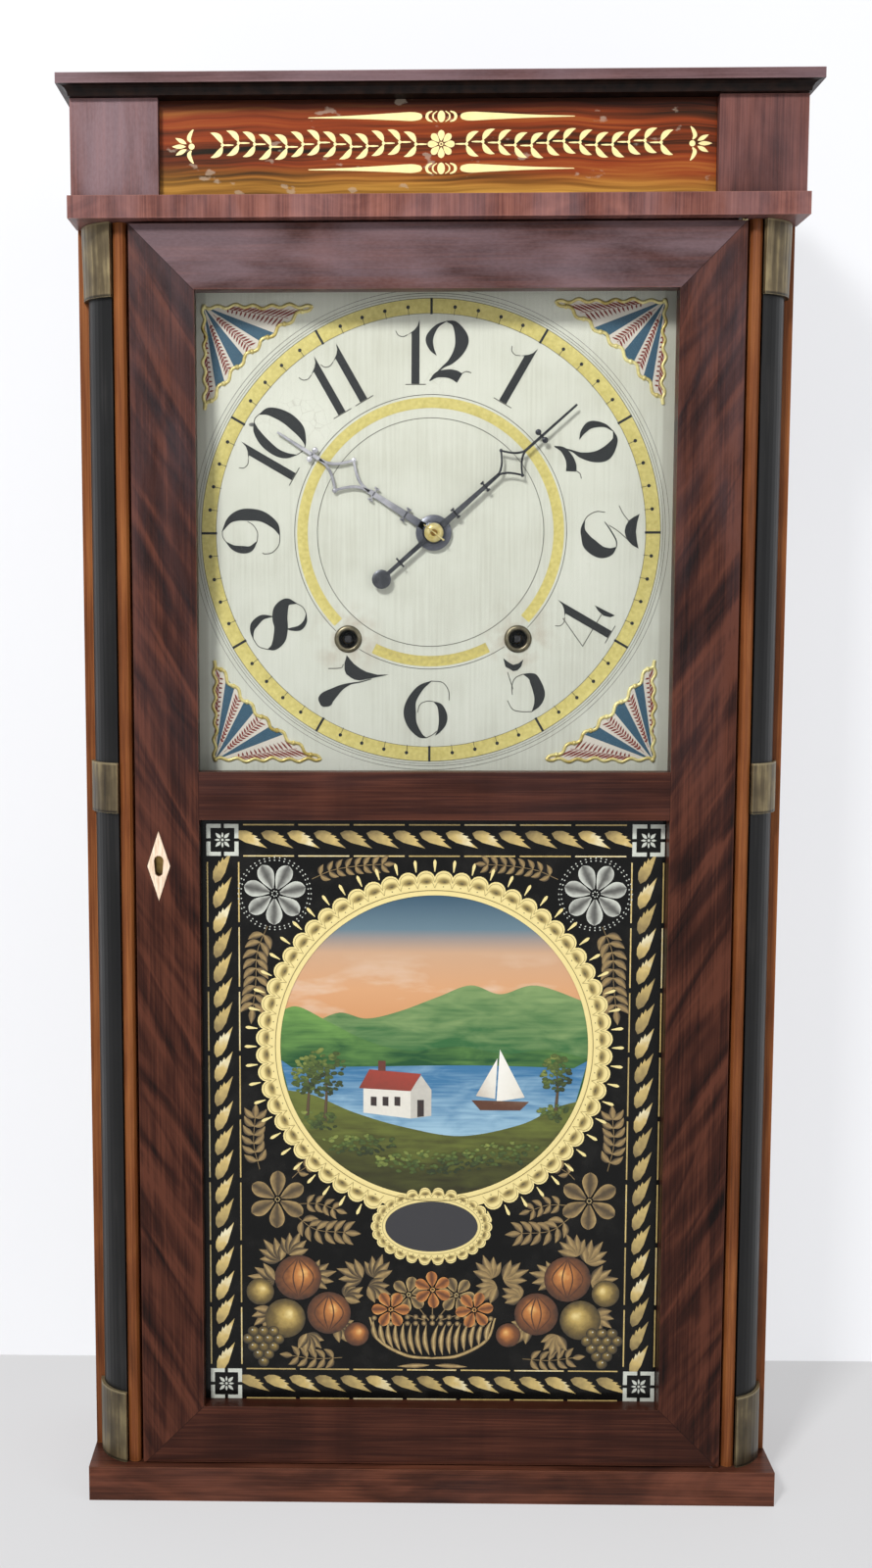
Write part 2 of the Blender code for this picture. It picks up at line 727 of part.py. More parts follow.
def build_lock(frame, pivot):
    """A bone diamond let into the stile, the lock behind it and the bolt that slides in the lock."""
    keyhole = keyhole_outline()
    plate = diamond(ESCUTCHEON_WIDTH, ESCUTCHEON_HEIGHT)
    start = depth_y(-ESCUTCHEON_PROUD)
    stack("escutcheon", "Y", [(start, start + ESCUTCHEON_THICK, plate, [keyhole])], BONE, pivot)
    sink = diamond(ESCUTCHEON_WIDTH + 4 * GAP, ESCUTCHEON_HEIGHT + 8 * GAP)
    sink_slab = (FACE_Y - GAP, start + ESCUTCHEON_THICK + GAP, sink, [])
    cut(frame, stack("escutcheon_sink", "Y", [sink_slab], BONE))
    lock_y = depth_y(DOOR_THICK - LOCK_DEPTH)
    cut(frame, stack("keyhole_cutter", "Y", [(FACE_Y, lock_y, keyhole, [])], BONE))
    left = -DOOR_HALF + GAP
    low, high = ESCUTCHEON_Z - LOCK_HEIGHT / 2, ESCUTCHEON_Z + LOCK_HEIGHT / 2
    mortise = box(
        "lock_mortise",
        (-DOOR_HALF - GAP, left + LOCK_WIDTH + GAP),
        (lock_y - GAP, depth_y(DOOR_THICK) + GAP),
        (low - GAP, high + GAP),
        BRASS,
    )
    cut(frame, mortise)
    across, through = (left, left + LOCK_WIDTH), (lock_y, depth_y(DOOR_THICK))
    case = box("door_lock", across, through, (low, high), BRASS, pivot)
    middle = lock_y + LOCK_DEPTH / 2
    half_t, half_h = BOLT_THICK / 2, BOLT_HEIGHT / 2
    channel = box(
        "bolt_channel",
        (left - GAP, left + BOLT_LENGTH + RUNNING),
        (middle - half_t - RUNNING, middle + half_t + RUNNING),
        (ESCUTCHEON_Z - half_h - RUNNING, ESCUTCHEON_Z + half_h + RUNNING),
        BRASS,
        pivot,
    )
    cut(case, channel)
    box(
        "lock_bolt",
        (left, left + BOLT_LENGTH),
        (middle - half_t, middle + half_t),
        (ESCUTCHEON_Z - half_h, ESCUTCHEON_Z + half_h),
        STEEL,
        (left, middle, ESCUTCHEON_Z),
    )


# Wheel layout, (x, z) from the centre arbor
def polar(centre, reach, degrees):
    turn = math.radians(degrees)
    return (centre[0] + reach * math.cos(turn), centre[1] + reach * math.sin(turn))


def reach_of(teeth_a, teeth_b, module):
    """Distance between two arbors whose wheels mesh."""
    return (teeth_a + teeth_b) * module / 2


def opposite(place):
    return (-place[0], place[1])


CENTRE = (0.0, 0.0)
THIRD = polar(CENTRE, reach_of(CENTRE_TEETH, CENTRE_DRIVER_TEETH, CENTRE_MODULE), THIRD_ANGLE)
SECOND = polar(THIRD, reach_of(SECOND_TEETH, PINION_LEAVES, SECOND_MODULE), SECOND_ANGLE)
WINDING = polar(SECOND, reach_of(GREAT_TEETH, PINION_LEAVES, GREAT_MODULE), GREAT_ANGLE)
FOURTH = polar(THIRD, reach_of(THIRD_TEETH, PINION_LEAVES, THIRD_MODULE), FOURTH_ANGLE)
ESCAPE_REACH = reach_of(FOURTH_TEETH, PINION_LEAVES, FOURTH_MODULE)
ESCAPE = (0.0, FOURTH[1] + math.sqrt(ESCAPE_REACH**2 - FOURTH[0] ** 2))
VERGE = (0.0, ESCAPE[1] + VERGE_RISE)
MINUTE_STUD = polar(CENTRE, reach_of(CANNON_TEETH, MINUTE_WHEEL_TEETH, CANNON_MODULE), MINUTE_WHEEL_ANGLE)
HOUR_MODULE = CANNON_MODULE * (CANNON_TEETH + MINUTE_WHEEL_TEETH) / (MINUTE_PINION_TEETH + HOUR_WHEEL_TEETH)
STRIKE_SECOND = opposite(SECOND)
STRIKE_THIRD = opposite(THIRD)
STRIKE_WINDING = opposite(WINDING)
FLY = polar(
    STRIKE_THIRD,
    reach_of(STRIKE_THIRD_TEETH, PINION_LEAVES, STRIKE_THIRD_MODULE),
    FLY_ANGLE,
)
HAMMER = (HAMMER_X, -HAMMER_DROP)


def on_arbor(place):
    """World place of an arbor, at the depth of the front plate."""
    return (place[0], depth_y(FRONT_PLATE), CENTRE_Z + place[1])


def in_world(outline, place):
    return moved(outline, (place[0], CENTRE_Z + place[1]))


def gear(teeth, module, phase, tip=0.13, root=0.26):
    """Straight-sided teeth. phase is the angle of one tooth, tip and root are half widths in pitches."""
    pitch_radius = teeth * module / 2
    outer = pitch_radius + ADDENDUM * module
    inner = pitch_radius - DEDENDUM * module
    step = 2 * math.pi / teeth
    corners = ((-root, inner), (-tip, outer), (tip, outer), (root, inner))
    turns = [(phase + (i + share) * step, radius) for i in range(teeth) for share, radius in corners]
    return [(radius * math.cos(turn), radius * math.sin(turn)) for turn, radius in turns]


def saw_wheel(teeth, radius, depth, lean, phase=0.0):
    """Pointed teeth that lean forward, as on a ratchet or an escape wheel."""
    step = 2 * math.pi / teeth
    points = []
    for i in range(teeth):
        for share, reach in ((0.0, radius - depth), (lean, radius), (lean + 0.12, radius)):
            turn = phase + (i + share) * step
            points.append((reach * math.cos(turn), reach * math.sin(turn)))
    return points


def crossings(inner, outer, phase=0.0):
    """The openings between a wheel's arms."""
    windows = []
    for i in range(ARM_COUNT):
        middle = phase + 2 * math.pi * (i + 0.5) / ARM_COUNT
        half_sector = math.pi / ARM_COUNT
        far = half_sector - math.asin(ARM_WIDTH / 2 / outer)
        near = half_sector - math.asin(ARM_TAPER * ARM_WIDTH / 2 / inner)
        rim = arc(outer, middle - far, middle + far, 4)
        windows.append(rim + arc(inner, middle + near, middle - near, 1))
    return windows


def tooth_phase(place_a, teeth_a, phase_a, place_b, teeth_b):
    """Phase of wheel b that puts one of its gaps on a tooth of wheel a."""
    towards = math.atan2(place_b[1] - place_a[1], place_b[0] - place_a[0])
    share = (towards - phase_a) * teeth_a / (2 * math.pi)
    return towards + math.pi + 2 * math.pi / teeth_b * (share + 0.5)


def pivoted(place, parts, radius=ARBOR_RADIUS):
    """An arbor between the plates with a pivot at each end.

    parts are the (start, end, outline, holes) slabs on it, in order from the front.
    """
    arbor = in_world(circle(radius, 8), place)
    pivot = in_world(circle(PIVOT_RADIUS, 8), place)
    front, back = FRONT_PLATE + PLATE_THICK + GAP, BACK_PLATE - GAP
    slices = [(FRONT_PLATE + GAP, front, pivot, [])]
    here = front
    for start, end, outline, holes in parts:
        if start > here:
            slices.append((here, start, arbor, []))
        slices.append((start, end, in_world(outline, place), [in_world(hole, place) for hole in holes]))
        here = end
    slices.append((here, back, arbor, []))
    slices.append((back, BACK_PLATE + PLATE_THICK - GAP, pivot, []))
    return slices


def at_depth(slices):
    return [(depth_y(start), depth_y(end), outline, holes) for start, end, outline, holes in slices]


def wheel_slab(layer, teeth, module, phase, hub=HUB_RADIUS):
    root = teeth * module / 2 - DEDENDUM * module
    return (layer, layer + WHEEL_THICK, gear(teeth, module, phase), crossings(hub, root - RIM_WIDTH, phase))


def pinion_slab(layer, teeth, module, phase):
    """A pinion that reaches a little past both faces of the wheel it meets."""
    return (layer - PINION_MARGIN, layer + WHEEL_THICK + PINION_MARGIN, gear(teeth, module, phase), [])


# Tooth phases, outwards from the minute hand
CENTRE_PHASE = math.radians(90.0 - MINUTE_ANGLE)
DRIVER_PHASE = tooth_phase(CENTRE, CENTRE_TEETH, CENTRE_PHASE, THIRD, CENTRE_DRIVER_TEETH)


def build_plates():
    """Two pierced brass plates, the rear one with the pillars, the feet and the pendulum cock."""
    outline = rectangle(-PLATE_HALF, PLATE_HALF, CENTRE_Z - PLATE_BOTTOM, CENTRE_Z + PLATE_TOP)
    border = PLATE_HALF - PLATE_BORDER
    low_window = rectangle(
        -PLATE_BOTTOM / 4,
        PLATE_BOTTOM / 4,
        CENTRE_Z - PLATE_BOTTOM + PLATE_BORDER,
        CENTRE_Z + THIRD[1] - PLATE_BORDER,
    )
    inner = abs(FLY[0]) + PLATE_BORDER
    window_low = CENTRE_Z + SECOND[1] + 2 * PLATE_BORDER
    window_high = CENTRE_Z + PLATE_TOP - PLATE_BORDER
    flare = PLATE_THICK / 3
    right_window = [
        (inner, window_low),
        (border, window_low - flare),
        (border, window_high + flare),
        (inner, window_high),
    ]
    windows = [low_window, right_window, mirrored(right_window, -1)]
    pivot_hole = circle(PIVOT_RADIUS + 1.5 * RUNNING, 8)
    arbor_hole = circle(ARBOR_RADIUS + 1.5 * RUNNING, 10)
    winding_hole = circle(WINDING_ARBOR_RADIUS + 1.5 * RUNNING, 12)
    turning = (THIRD, SECOND, FOURTH, ESCAPE, STRIKE_SECOND, STRIKE_THIRD, FLY)
    front_holes = [in_world(pivot_hole, place) for place in turning + (VERGE, HAMMER)]
    front_holes += [in_world(winding_hole, place) for place in (WINDING, STRIKE_WINDING)]
    back_holes = [in_world(pivot_hole, place) for place in turning]
    back_holes += [in_world(arbor_hole, place) for place in (WINDING, STRIKE_WINDING, VERGE, HAMMER)]

    front = plate("movement_front_frame", FRONT_PLATE, outline, windows, front_holes)
    add_centre_bush(front)
    add_minute_stud(front)
    back = plate("movement_back_frame", BACK_PLATE, outline, windows, back_holes)
    add_pillars(back)
    add_cock(back)


def plate(name, start, outline, windows, holes):
    made = stack(name, "Y", at_depth([(start, start + PLATE_THICK, outline, windows)]), BRASS)
    reach = (depth_y(start - GAP), depth_y(start + PLATE_THICK + GAP))
    cut(made, prisms(name + "_holes", reach, holes, BRASS))
    return made


def add_centre_bush(front):
    """The pipe behind the front plate in which the centre arbor turns."""
    start = FRONT_PLATE + PLATE_THICK / 2
    end = CENTRE_WHEEL_LAYER - GAP
    tube = in_world(circle(2 * CENTRE_RADIUS, 12), CENTRE)
    fuse(front, stack("centre_bush", "Y", at_depth([(start, end, tube, [])]), BRASS))
    bore = in_world(circle(CENTRE_RADIUS + RUNNING, 12), CENTRE)
    cut(front, stack("centre_bore", "Y", at_depth([(FRONT_PLATE - GAP, end + GAP, bore, [])]), BRASS))


def add_minute_stud(front):
    start = HOUR_WHEEL_LAYER - PINION_MARGIN / 2
    stud = in_world(circle(PIVOT_RADIUS, 10), MINUTE_STUD)
    end = FRONT_PLATE + PLATE_THICK / 2
    fuse(front, stack("minute_wheel_stud", "Y", at_depth([(start, end, stud, [])]), STEEL))


def add_pillars(back):
    """Four pillars to the front plate, which go on as feet to the backboard."""
    inset = PLATE_BORDER / 2
    start, end = FRONT_PLATE + PLATE_THICK + GAP, BACKBOARD_FRONT - GAP
    for i, (side, level) in enumerate(((-1, -1), (1, -1), (-1, 1), (1, 1))):
        height = PLATE_TOP - inset if level > 0 else inset - PLATE_BOTTOM
        pillar = in_world(circle(PILLAR_RADIUS, 10), (side * (PLATE_HALF - PILLAR_INSET), height))
        fuse(back, stack(f"pillar_{i}", "Y", at_depth([(start, end, pillar, [])]), BRASS))


def add_cock(back):
    """A bracket above the verge whose pin carries the pendulum."""
    half = COCK_WIDTH / 2
    arm_low = CENTRE_Z + VERGE[1] + COCK_WIDTH
    drop_front = PENDULUM_DEPTH + EYE_THICK / 2 + 2 * RUNNING
    arm = box(
        "cock_arm",
        (-half, half),
        (depth_y(BACK_PLATE + PLATE_THICK / 2), depth_y(drop_front + PLATE_THICK)),
        (arm_low, arm_low + COCK_WIDTH),
        BRASS,
    )
    inset = RUNNING
    drop = box(
        "cock_drop",
        (inset - half, half - inset),
        (depth_y(drop_front), depth_y(drop_front + PLATE_THICK - inset)),
        (CENTRE_Z + VERGE[1] - half, arm_low + half),
        BRASS,
    )
    pin = in_world(circle(PIVOT_RADIUS, 10), VERGE)
    pin_slab = (PENDULUM_DEPTH - EYE_THICK / 2 - RUNNING, drop_front + PLATE_THICK / 2, pin, [])
    fuse(back, arm)
    fuse(back, drop)
    fuse(back, stack("cock_pin", "Y", at_depth([pin_slab]), STEEL))


# Going train
def build_train():
    third_phase = DRIVER_PHASE
    third_pinion = tooth_phase(SECOND, SECOND_TEETH, 0.0, THIRD, PINION_LEAVES)
    third = [
        (CENTRE_WHEEL_LAYER - 0.0004, CENTRE_WHEEL_LAYER + WHEEL_THICK + 0.0004,
         gear(CENTRE_DRIVER_TEETH, CENTRE_MODULE, DRIVER_PHASE), []),
        wheel_slab(THIRD_LAYER, THIRD_TEETH, THIRD_MODULE, third_phase),
        pinion_slab(SECOND_LAYER, PINION_LEAVES, SECOND_MODULE, third_pinion),
    ]
    stack("time_third_wheel", "Y", at_depth(pivoted(THIRD, third)), BRASS, on_arbor(THIRD))

    second_pinion = tooth_phase(WINDING, GREAT_TEETH, 0.0, SECOND, PINION_LEAVES)
    second = [
        pinion_slab(GREAT_LAYER, PINION_LEAVES, GREAT_MODULE, second_pinion),
        wheel_slab(SECOND_LAYER, SECOND_TEETH, SECOND_MODULE, 0.0),
    ]
    stack("time_second_wheel", "Y", at_depth(pivoted(SECOND, second)), BRASS, on_arbor(SECOND))
    great_wheel("time_great_wheel", WINDING)

    fourth_pinion = tooth_phase(THIRD, THIRD_TEETH, third_phase, FOURTH, PINION_LEAVES)
    fourth = [
        pinion_slab(THIRD_LAYER, PINION_LEAVES, THIRD_MODULE, fourth_pinion),
        wheel_slab(FOURTH_LAYER, FOURTH_TEETH, FOURTH_MODULE, 0.0),
    ]
    stack("time_fourth_wheel", "Y", at_depth(pivoted(FOURTH, fourth)), BRASS, on_arbor(FOURTH))

    escape_pinion = tooth_phase(FOURTH, FOURTH_TEETH, 0.0, ESCAPE, PINION_LEAVES)
    teeth = saw_wheel(ESCAPE_TEETH, ESCAPE_RADIUS, ESCAPE_TOOTH, 0.55)
    escape = [
        pinion_slab(FOURTH_LAYER, PINION_LEAVES, FOURTH_MODULE, escape_pinion),
        (ESCAPE_LAYER, ESCAPE_LAYER + WHEEL_THICK, teeth,
         crossings(0.7 * HUB_RADIUS, ESCAPE_RADIUS - ESCAPE_TOOTH - 0.6 * RIM_WIDTH)),
    ]
    stack("escape_wheel", "Y", at_depth(pivoted(ESCAPE, escape)), BRASS, on_arbor(ESCAPE))


def great_wheel(name, place):
    """Loose on the winding arbor, which its ratchet and click drive on the real clock."""
    bore = circle(WINDING_ARBOR_RADIUS + RUNNING, 12)
    slab = wheel_slab(GREAT_LAYER, GREAT_TEETH, GREAT_MODULE, 0.0, 2 * HUB_RADIUS)
    slab = (slab[0], slab[1], in_world(slab[2], place), [in_world(hole, place) for hole in [bore] + slab[3]])
    stack(name, "Y", at_depth([slab]), BRASS, on_arbor(place))


def drum(name, place):
    """Winding square, arbor, ratchet, and a grooveless barrel between two flanges."""
    front, end = DRUM_FRONT, DRUM_FRONT + DRUM_LENGTH
    square_half = WINDING_SQUARE
    square = [(square_half, square_half), (-square_half, square_half)]
    square += [(-u, -v) for u, v in square]
    arbor = circle(WINDING_ARBOR_RADIUS, 12)
    pivot = circle(ARBOR_RADIUS, 10)
    flange = circle(DRUM_FLANGE, 24)
    ratchet = saw_wheel(RATCHET_TEETH, RATCHET_RADIUS, 0.0022, 0.8)
    ratchet_front = GREAT_LAYER + WHEEL_THICK + GAP
    slices = [
        (WINDING_FRONT, FRONT_PLATE - 0.004, square, []),
        (FRONT_PLATE - 0.004, ratchet_front, arbor, []),
        (ratchet_front, front - FLANGE_THICK, ratchet, []),
        (front - FLANGE_THICK, front, flange, []),
        (front, end, circle(DRUM_RADIUS, 24), []),
        (end, end + FLANGE_THICK, flange, []),
        (end + FLANGE_THICK, BACK_PLATE - GAP, arbor, []),
        (BACK_PLATE - GAP, BACK_PLATE + PLATE_THICK - GAP, pivot, []),
    ]
    placed = [(start, stop, in_world(outline, place), holes) for start, stop, outline, holes in slices]
    stack(name, "Y", at_depth(placed), BRASS, on_arbor(place))


# Hands and motion work
def hand_outline(half_shaft, hub, features, length, tail=None):
    """A hand that points up from its hub. features are points of its right edge, from the hub up."""
    right = list(features)
    left = [(-u, v) for u, v in reversed(right)]
    lean = math.asin(half_shaft / hub)
    start, end = math.pi / 2 + lean, 5 * math.pi / 2 - lean
    if tail is None:
        round_hub = arc(hub, start, end, 10)
    else:
        foot = 3 * math.pi / 2
        round_hub = arc(hub, start, foot - lean, 5) + tail + arc(hub, foot + lean, end, 5)
    return round_hub + right + [(0.0, length)] + left


def cross_bar(height, half_shaft, half_length, thick=0.0013):
    low, high = height - thick / 2, height + thick / 2
    return [(half_shaft, low), (half_length, low), (half_length, high), (half_shaft, high)]


def lozenge(low, high, half_width, half_shaft, frame):
    """Right edge of an open lozenge, and the window inside it."""
    middle = (low + high) / 2
    edge = [(half_shaft, low), (half_width, middle), (half_shaft, high)]
    inset = 1.4 * frame
    reach = half_width - inset
    window = [(0.0, low + inset), (reach, middle), (0.0, high - inset), (-reach, middle)]
    return edge, window


def build_hands():
    """The minute hand on the centre arbor and the hour hand on the pipe round it."""
    origin = on_arbor(CENTRE)
    shaft = MINUTE_SHAFT / 2
    edge, window = lozenge(MINUTE_LOZENGE_LOW, MINUTE_LOZENGE_HIGH, LOZENGE_HALF, shaft, MINUTE_FRAME)
    features = cross_bar(HAND_HUB_BAR, shaft, HAND_BAR_HALF)
    features += cross_bar(HAND_MIDDLE_BAR, shaft, HAND_BAR_HALF)
    features += edge + cross_bar(MINUTE_BALL_BAR, shaft / 2, HAND_BAR_HALF)
    lean = math.asin(shaft / MINUTE_COUNTERPOISE)
    disc = arc(MINUTE_COUNTERPOISE, math.pi / 2 + lean, 5 * math.pi / 2 - lean, 12, (0.0, -MINUTE_TAIL))
    outline = hand_outline(shaft, MINUTE_HUB, features, MINUTE_LENGTH, disc)
    bore = circle(CENTRE_RADIUS + GAP, 12)
    hand("minute_hand", outline, [bore, window], MINUTE_HAND_DEPTH, MINUTE_ANGLE, origin)

    shaft = HOUR_SHAFT / 2
    edge, window = lozenge(HOUR_LOZENGE_LOW, HOUR_LOZENGE_HIGH, LOZENGE_HALF, shaft, HOUR_FRAME)
    features = cross_bar(HAND_HUB_BAR, shaft, HAND_BAR_HALF)
    features += cross_bar(HAND_MIDDLE_BAR, shaft, HAND_BAR_HALF)
    features += edge + cross_bar(HOUR_BALL_BAR, shaft / 2, HAND_BAR_HALF)
    outline = hand_outline(shaft, HOUR_HUB, features, HOUR_LENGTH)
    bore = circle(PIPE_RADIUS + GAP, 12)
    hand("hour_hand", outline, [bore, window], HOUR_HAND_DEPTH, HOUR_ANGLE, origin)


def hand(name, outline, holes, layer, degrees, origin):
    turn = -math.radians(degrees)
    placed = [in_world(turned(item, turn), CENTRE) for item in [outline] + holes]
    slab = (layer, layer + HAND_THICK, placed[0], placed[1:])
    stack(name, "Y", at_depth([slab]), STEEL, origin)


def build_motion_work():
    """Cannon wheel on the centre arbor, minute wheel on its stud, hour wheel on the hour pipe."""
    origin = on_arbor(CENTRE)
    arbor = circle(CENTRE_RADIUS, 12)
    cannon_end = CANNON_LAYER + MOTION_THICK
    wheel_end = CENTRE_WHEEL_LAYER + WHEEL_THICK
    slices = [
        (CENTRE_FRONT, CANNON_LAYER, arbor, []),
        (CANNON_LAYER, cannon_end, gear(CANNON_TEETH, CANNON_MODULE, CENTRE_PHASE), []),
        (cannon_end, CENTRE_WHEEL_LAYER, arbor, []),
        wheel_slab(CENTRE_WHEEL_LAYER, CENTRE_TEETH, CENTRE_MODULE, CENTRE_PHASE),
        (wheel_end, wheel_end + MOTION_THICK, arbor, []),
    ]
    stack("centre_wheel", "Y", at_depth(placed_at(slices, CENTRE)), BRASS, origin)

    bore = circle(CENTRE_RADIUS + RUNNING, 12)
    hour_phase = tooth_phase(MINUTE_STUD, MINUTE_PINION_TEETH, 0.0, CENTRE, HOUR_WHEEL_TEETH)
    pipe = [
        (PIPE_FRONT, HOUR_WHEEL_LAYER, circle(PIPE_RADIUS, 12), [bore]),
        (HOUR_WHEEL_LAYER, HOUR_WHEEL_LAYER + MOTION_THICK,
         gear(HOUR_WHEEL_TEETH, HOUR_MODULE, hour_phase), [bore]),
    ]
    stack("hour_wheel", "Y", at_depth(placed_at(pipe, CENTRE)), BRASS, origin)

    bore = circle(PIVOT_RADIUS + RUNNING, 10)
    wheel_phase = tooth_phase(CENTRE, CANNON_TEETH, CENTRE_PHASE, MINUTE_STUD, MINUTE_WHEEL_TEETH)
    minute = [
        (HOUR_WHEEL_LAYER - PINION_MARGIN / 3, CANNON_LAYER,
         gear(MINUTE_PINION_TEETH, HOUR_MODULE, 0.0), [bore]),
        (CANNON_LAYER, cannon_end, gear(MINUTE_WHEEL_TEETH, CANNON_MODULE, wheel_phase), [bore]),
    ]
    stack("minute_wheel", "Y", at_depth(placed_at(minute, MINUTE_STUD)), BRASS, on_arbor(MINUTE_STUD))


def placed_at(slices, place):
    """Slabs about an arbor at its place, keeping a hole that runs through as one list."""
    done = {}
    result = []
    for start, end, outline, holes in slices:
        for item in [outline] + holes:
            if id(item) not in done:
                done[id(item)] = in_world(item, place)
        result.append((start, end, done[id(outline)], [done[id(hole)] for hole in holes]))
    return result


def build_dial():
    outline = rectangle(-POST_INNER + GAP, POST_INNER - GAP, DIAL_BOTTOM, DIAL_TOP)
    holes = [in_world(circle(DIAL_CENTRE_HOLE, 16), CENTRE)]
    holes += [in_world(circle(WINDING_HOLE, 16), place) for place in (WINDING, STRIKE_WINDING)]
    slab = (DIAL_SETBACK, DIAL_SETBACK + DIAL_THICK, outline, holes)
    stack("dial", "Y", at_depth([slab]), DIAL_PAINT)


# Verge and pendulum, on one axis
def build_pendulum():
    origin = on_arbor(VERGE)
    slices = pivoted(VERGE, [(ANCHOR_LAYER, ANCHOR_LAYER + ANCHOR_THICK, anchor_outline(), [])])
    arbor = in_world(circle(ARBOR_RADIUS, 8), VERGE)
    crutch = arm_outline(CRUTCH_HUB, CRUTCH_LENGTH, CRUTCH_HALF, CRUTCH_FOOT)
    crutch = in_world(turned(crutch, -math.pi / 2), VERGE)
    slices = slices[:-2] + [
        (slices[-2][0], CRUTCH_LAYER, arbor, []),
        (CRUTCH_LAYER, CRUTCH_LAYER + CRUTCH_THICK, crutch, []),
    ]
    verge = stack("verge", "Y", at_depth(slices), STEEL, origin)
    fork_z = CENTRE_Z + VERGE[1] - CRUTCH_LENGTH
    inner = PENDULUM_ROD_RADIUS + 1.5 * RUNNING
    for side in (-1, 1):
        prong = box(
            f"fork_prong_{side}",
            sorted((side * inner, side * (inner + PRONG_THICK))),
            (depth_y(CRUTCH_LAYER + CRUTCH_THICK / 2), depth_y(PENDULUM_DEPTH + 2 * PENDULUM_ROD_RADIUS)),
            (fork_z - CRUTCH_HALF, fork_z + CRUTCH_HALF),
            STEEL,
        )
        fuse(verge, prong)

    rod_y = depth_y(PENDULUM_DEPTH)
    pivot_z = CENTRE_Z + VERGE[1]
    bob_z = pivot_z - PENDULUM_LENGTH
    nut_top = bob_z - BOB_RADIUS - GAP
    nut = circle(RATING_NUT_RADIUS, 8, (0.0, rod_y))
    wire = circle(PENDULUM_ROD_RADIUS, 8, (0.0, rod_y))
    rod = stack(
        "pendulum_rod",
        "Z",
        [
            (nut_top - RATING_NUT_HEIGHT, nut_top, nut, []),
            (nut_top, pivot_z - EYE_RADIUS + EYE_LAP, wire, []),
        ],
        STEEL,
        origin,
    )
    hole = in_world(circle(PIVOT_RADIUS + RUNNING, 10), VERGE)
    eye = (
        PENDULUM_DEPTH - EYE_THICK / 2,
        PENDULUM_DEPTH + EYE_THICK / 2,
        in_world(circle(EYE_RADIUS, 12), VERGE),
        [hole],
    )
    fuse(rod, stack("pendulum_eye", "Y", at_depth([eye]), STEEL))

    levels = []
    for i in range(7):
        turn = math.pi * (i + 0.5) / 7
        radius = BOB_RADIUS * math.sin(turn) ** 0.6
        levels.append((rod_y - BOB_THICK / 2 * math.cos(turn), circle(radius, 24, (0.0, bob_z))))
    bob = loft("pendulum_bob", "Y", levels, BRASS, origin)
    span = BOB_RADIUS + 4 * GAP
    channel = circle(PENDULUM_ROD_RADIUS + GAP, 8, (0.0, rod_y))
    cut(bob, stack("bob_channel", "Z", [(bob_z - span, bob_z + span, channel, [])], STEEL))


def anchor_outline():
    """A recoil anchor that spans the escape wheel, its pallets clear of the wheel's tips."""
    spread = math.radians(PALLET_SPREAD)
    tip = (ANCHOR_REACH * math.sin(spread), ANCHOR_REACH * math.cos(spread) - VERGE_RISE)
    right = [
        (0.61 * tip[0], 0.38 * tip[1]),
        (0.89 * tip[0], 0.70 * tip[1]),
        tip,
        (1.17 * tip[0], 0.92 * tip[1]),
        (1.05 * tip[0], 0.44 * tip[1]),
        (0.68 * tip[0], 0.05 * tip[1]),
        (0.23 * tip[0], -0.36 * tip[1]),
    ]
    left = [(-u, v) for u, v in reversed(right)]
    return right + left


def arm_outline(hub, length, half_width, end_radius):
    """A lever along +u: a round hub, a straight arm and a round end."""
    lean = math.asin(half_width / hub)
    close = math.asin(min(1.0, half_width / end_radius))
    end = arc(end_radius, close - math.pi, math.pi - close, 10, (length, 0.0))
    return arc(hub, lean, 2 * math.pi - lean, 10) + end


# Striking train
def build_strike():
    great_wheel("strike_great_wheel", STRIKE_WINDING)
    pinion = tooth_phase(STRIKE_WINDING, GREAT_TEETH, 0.0, STRIKE_SECOND, PINION_LEAVES)
    second = [
        pinion_slab(GREAT_LAYER, PINION_LEAVES, GREAT_MODULE, pinion),
        wheel_slab(SECOND_LAYER, SECOND_TEETH, SECOND_MODULE, 0.0),
    ]
    pin_wheel = stack(
        "strike_pin_wheel", "Y", at_depth(pivoted(STRIKE_SECOND, second)), BRASS, on_arbor(STRIKE_SECOND)
    )
    fuse(pin_wheel, strike_pins())

    pinion = tooth_phase(STRIKE_SECOND, SECOND_TEETH, 0.0, STRIKE_THIRD, PINION_LEAVES)
    third = [
        wheel_slab(STRIKE_THIRD_LAYER, STRIKE_THIRD_TEETH, STRIKE_THIRD_MODULE, 0.0),
        pinion_slab(SECOND_LAYER, PINION_LEAVES, SECOND_MODULE, pinion),
    ]
    stack("strike_third_wheel", "Y", at_depth(pivoted(STRIKE_THIRD, third)), BRASS, on_arbor(STRIKE_THIRD))

    pinion = tooth_phase(STRIKE_THIRD, STRIKE_THIRD_TEETH, 0.0, FLY, PINION_LEAVES)
    fly = [
        pinion_slab(STRIKE_THIRD_LAYER, PINION_LEAVES, STRIKE_THIRD_MODULE, pinion),
        (FLY_LAYER, FLY_LAYER + FLY_WIDTH, fly_outline(), []),
    ]
    stack("strike_fly", "Y", at_depth(pivoted(FLY, fly)), BRASS, on_arbor(FLY))
    build_hammer()
    build_bell()


def strike_pins():
    """The pins on the wheel's rim that lift the hammer tail."""
    reach = (depth_y(SECOND_LAYER + WHEEL_THICK / 2), depth_y(SECOND_LAYER + WHEEL_THICK + STRIKE_PIN_LENGTH))
    places = [polar((0.0, 0.0), PIN_CIRCLE, 360.0 * i / PIN_COUNT) for i in range(PIN_COUNT)]
    outlines = [in_world(circle(STRIKE_PIN_RADIUS, 6, place), STRIKE_SECOND) for place in places]
    return prisms("strike_pins", reach, outlines, STEEL)


